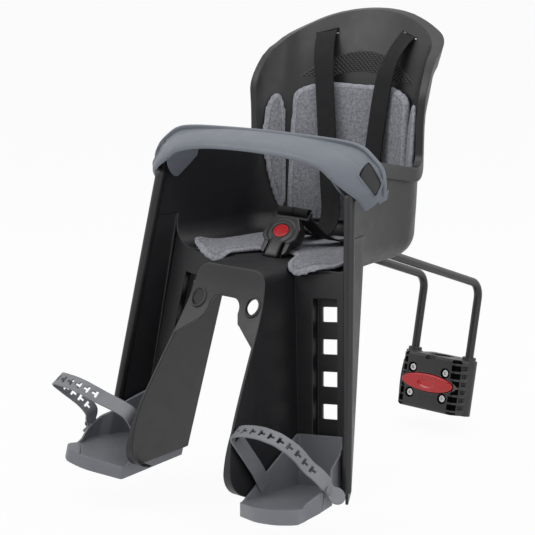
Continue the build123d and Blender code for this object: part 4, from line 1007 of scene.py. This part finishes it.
def ring_point(p, q, spot):
    """The place nearest to spot on the line from p to q."""
    line = q - p
    return p + line * min(max((spot - p).dot(line) / line.dot(line), 0), 1)


# The inside of the tub: height and y of its back, and its half width, depth and round at the floor
BACK_LINE = ((247.0, -203.0), (300.0, -200.0), (400.0, -196.0), (458.0, -191.0), (520.0, -173.0), (570.0, -158.0))
TUB_HALF, TUB_DEEP, TUB_WALL, TUB_ROUND, ROUND_TOP = 138.0, 84.0, 4.2, 34.0, 281.0
ARC_HALF, ARC_DEEP, ARC_STEPS = 134.2, 80.2, 180
ARC = [(0.0, 0.0)]
for k in range(1, ARC_STEPS + 1):
    t0, t1 = math.radians((k - 1) / 2), math.radians(k / 2)
    step = Vector((ARC_HALF * (math.sin(t1) - math.sin(t0)), ARC_DEEP * (math.cos(t1) - math.cos(t0)))).length
    ARC.append((ARC[-1][0] + step, t1))


def between(line, place):
    """The value at a place of a line of (place, value) points, held at its last one."""
    for (p0, v0), (p1, v1) in zip(line, line[1:]):
        if place <= p1:
            return v0 + (v1 - v0) * (place - p0) / (p1 - p0)
    return line[-1][1]


def on_back(u, v, height):
    """A place on the inside of the tub: u along its curve from the middle, v up and height off the wall."""
    turn, back = between(ARC, abs(u)), between(BACK_LINE, v)
    low = max(ROUND_TOP - v, 0.0)
    inset = TUB_WALL + height + (TUB_ROUND - math.sqrt(max(TUB_ROUND**2 - low**2, 1.0)))
    x = math.copysign((TUB_HALF - inset) * math.sin(turn), u)
    return Vector((x, back - TUB_DEEP + (TUB_DEEP - inset) * math.cos(turn), v))


# The pan: its front edge, its top, how the lobes bend over the edge, and its rise to the sides
PAN_EDGE, PAN_TOP, PAN_BEND, PAN_TURN = -404.0, 251.2, 9.0, 1.4
PAN_FLAT, PAN_RISE = 104.0, 0.02


def on_pan(u, v, height):
    """A place on the pan, with the front lobes bent down over its edge."""
    over = max(PAN_EDGE - v, 0.0)
    turn = min(over / PAN_BEND, PAN_TURN)
    hang = max(over - PAN_BEND * PAN_TURN, 0.0)
    y = max(v, PAN_EDGE) - (PAN_BEND + height) * math.sin(turn) - hang * math.cos(turn)
    z = PAN_TOP - PAN_BEND + (PAN_BEND + height) * math.cos(turn) - hang * math.sin(turn)
    return Vector((u, y, z + PAN_RISE * max(abs(u) - PAN_FLAT, 0) ** 2))


def closed_line(ring, steps):
    """A closed outline, smooth through its points."""
    line = smooth_line(ring[-2:] + ring + ring[:2], steps)
    return line[2 * steps:-2 * steps - 1][:len(ring) * steps]


def mirrored(half):
    """A closed ring of points from its half on the side of +X."""
    right = [Vector(p) for p in half]
    return right + [Vector((-p.x, p.y)) for p in reversed(right)]


SEAT_HALF = ((30, -243), (62, -250), (88, -268), (99, -295), (104, -325), (113, -360), (124, -383), (121, -398),
             (98, -412), (71, -421), (55, -417), (45, -404), (38, -390), (30, -376), (14, -370))
BACK_HALF = ((30, 457), (64, 455), (92, 447), (103, 434), (105, 405), (106.5, 350), (106.5, 292), (99, 272),
             (70, 268), (30, 267))
SIDE_RING = ((112, 281), (120, 288), (128, 304), (135, 326), (141, 352), (144, 378), (143, 404), (139, 424),
             (133, 435), (126, 439), (118, 435), (113, 422), (110, 400), (108, 345), (107, 305), (108, 288))
stuffed("seat_pad", closed_line(mirrored(SEAT_HALF), 6), 6.0, 2.0, on_pan)
stuffed("back_pad", closed_line(mirrored(BACK_HALF), 6), 8.0, 2.4, on_back)
for side, hand in reversed(HANDS):
    ring = [Vector((x * side, z)) for x, z in SIDE_RING]
    stuffed("side_pad_" + hand, closed_line(ring, 5), 7.0, 2.2, on_back)

# Stage
scene.view_settings.view_transform = "Standard"


def white_to_camera(tree, shader, keep):
    """Mixes plain white for camera, glossy and transmission rays over a shader, of which a share is kept."""
    path = tree.nodes.new("ShaderNodeLightPath")
    seen = math_node(tree, "MAXIMUM", path.outputs["Is Camera Ray"], path.outputs["Is Glossy Ray"])
    seen = math_node(tree, "MAXIMUM", seen, path.outputs["Is Transmission Ray"])
    seen = times(tree, seen, 1.0 - keep)
    glow = node(tree, "ShaderNodeEmission", Color=(1, 1, 1, 1), Strength=1.0)
    mix = tree.nodes.new("ShaderNodeMixShader")
    tree.links.new(seen, mix.inputs[0])
    tree.links.new(shader, mix.inputs[1])
    tree.links.new(glow.outputs[0], mix.inputs[2])
    return mix.outputs[0]


world = bpy.data.worlds.new("studio")
scene.world = world
world.use_nodes = True
tree = world.node_tree
back = tree.nodes["Background"]
back.inputs["Color"].default_value = (0.92, 0.95, 1.0, 1.0)
back.inputs["Strength"].default_value = 0.42
surface = white_to_camera(tree, back.outputs[0], 0.0)
tree.links.new(surface, tree.nodes["World Output"].inputs["Surface"])

FLOOR_REACH, FLOOR_DROP = 14.0, 0.02
work = bmesh.new()
bmesh.ops.create_grid(work, x_segments=1, y_segments=1, size=FLOOR_REACH)
bmesh.ops.translate(work, vec=(0, 0, CAD_BOX[0][2] - FLOOR_DROP), verts=work.verts)
floor_mesh = bpy.data.meshes.new("floor")
work.to_mesh(floor_mesh)
work.free()
floor = bpy.data.objects.new("floor", floor_mesh)
scene.collection.objects.link(floor)
floor_material = bpy.data.materials.new("floor")
floor_material.use_nodes = True
tree = floor_material.node_tree
shader = tree.nodes["Principled BSDF"]
shader.inputs["Base Color"].default_value = (0.86, 0.86, 0.86, 1.0)
shader.inputs["Roughness"].default_value = 0.9
tree.links.new(white_to_camera(tree, shader.outputs[0], 0.06), tree.nodes["Material Output"].inputs["Surface"])
floor_mesh.materials.append(floor_material)


def lamp(name, place, target, size, power):
    """A soft rectangular lamp that faces a target."""
    data = bpy.data.lights.new(name, "AREA")
    data.shape = "RECTANGLE"
    data.size, data.size_y = size
    data.energy = power
    made = bpy.data.objects.new(name, data)
    made.location = place
    made.rotation_euler = (Vector(target) - Vector(place)).to_track_quat("-Z", "Y").to_euler()
    scene.collection.objects.link(made)


CENTRE = (0.0, -0.32, 0.27)
lamp("key", (-1.2, -1.9, 1.9), CENTRE, (1.4, 1.4), 20)
lamp("fill", (1.9, -1.0, 1.2), CENTRE, (1.2, 1.8), 10.5)
lamp("top", (0.2, -0.2, 2.2), CENTRE, (1.8, 1.8), 15)
lamp("rim", (1.2, 1.3, 1.1), CENTRE, (1.0, 1.6), 7)

SENSOR, FOCAL_PIXELS, IMAGE_PIXELS = 36.0, 1568.0, 535.0
camera_data = bpy.data.cameras.new("camera")
camera_data.lens = SENSOR * FOCAL_PIXELS / IMAGE_PIXELS
camera_data.sensor_width = SENSOR
camera = bpy.data.objects.new("camera", camera_data)
camera.location = (1.242, -1.872, 0.650)
turn, rise = math.radians(40.0), math.radians(12.04)
view = Vector((-math.sin(turn) * math.cos(rise), math.cos(turn) * math.cos(rise), -math.sin(rise)))
camera.rotation_euler = view.to_track_quat("-Z", "Y").to_euler()
scene.collection.objects.link(camera)
scene.camera = camera
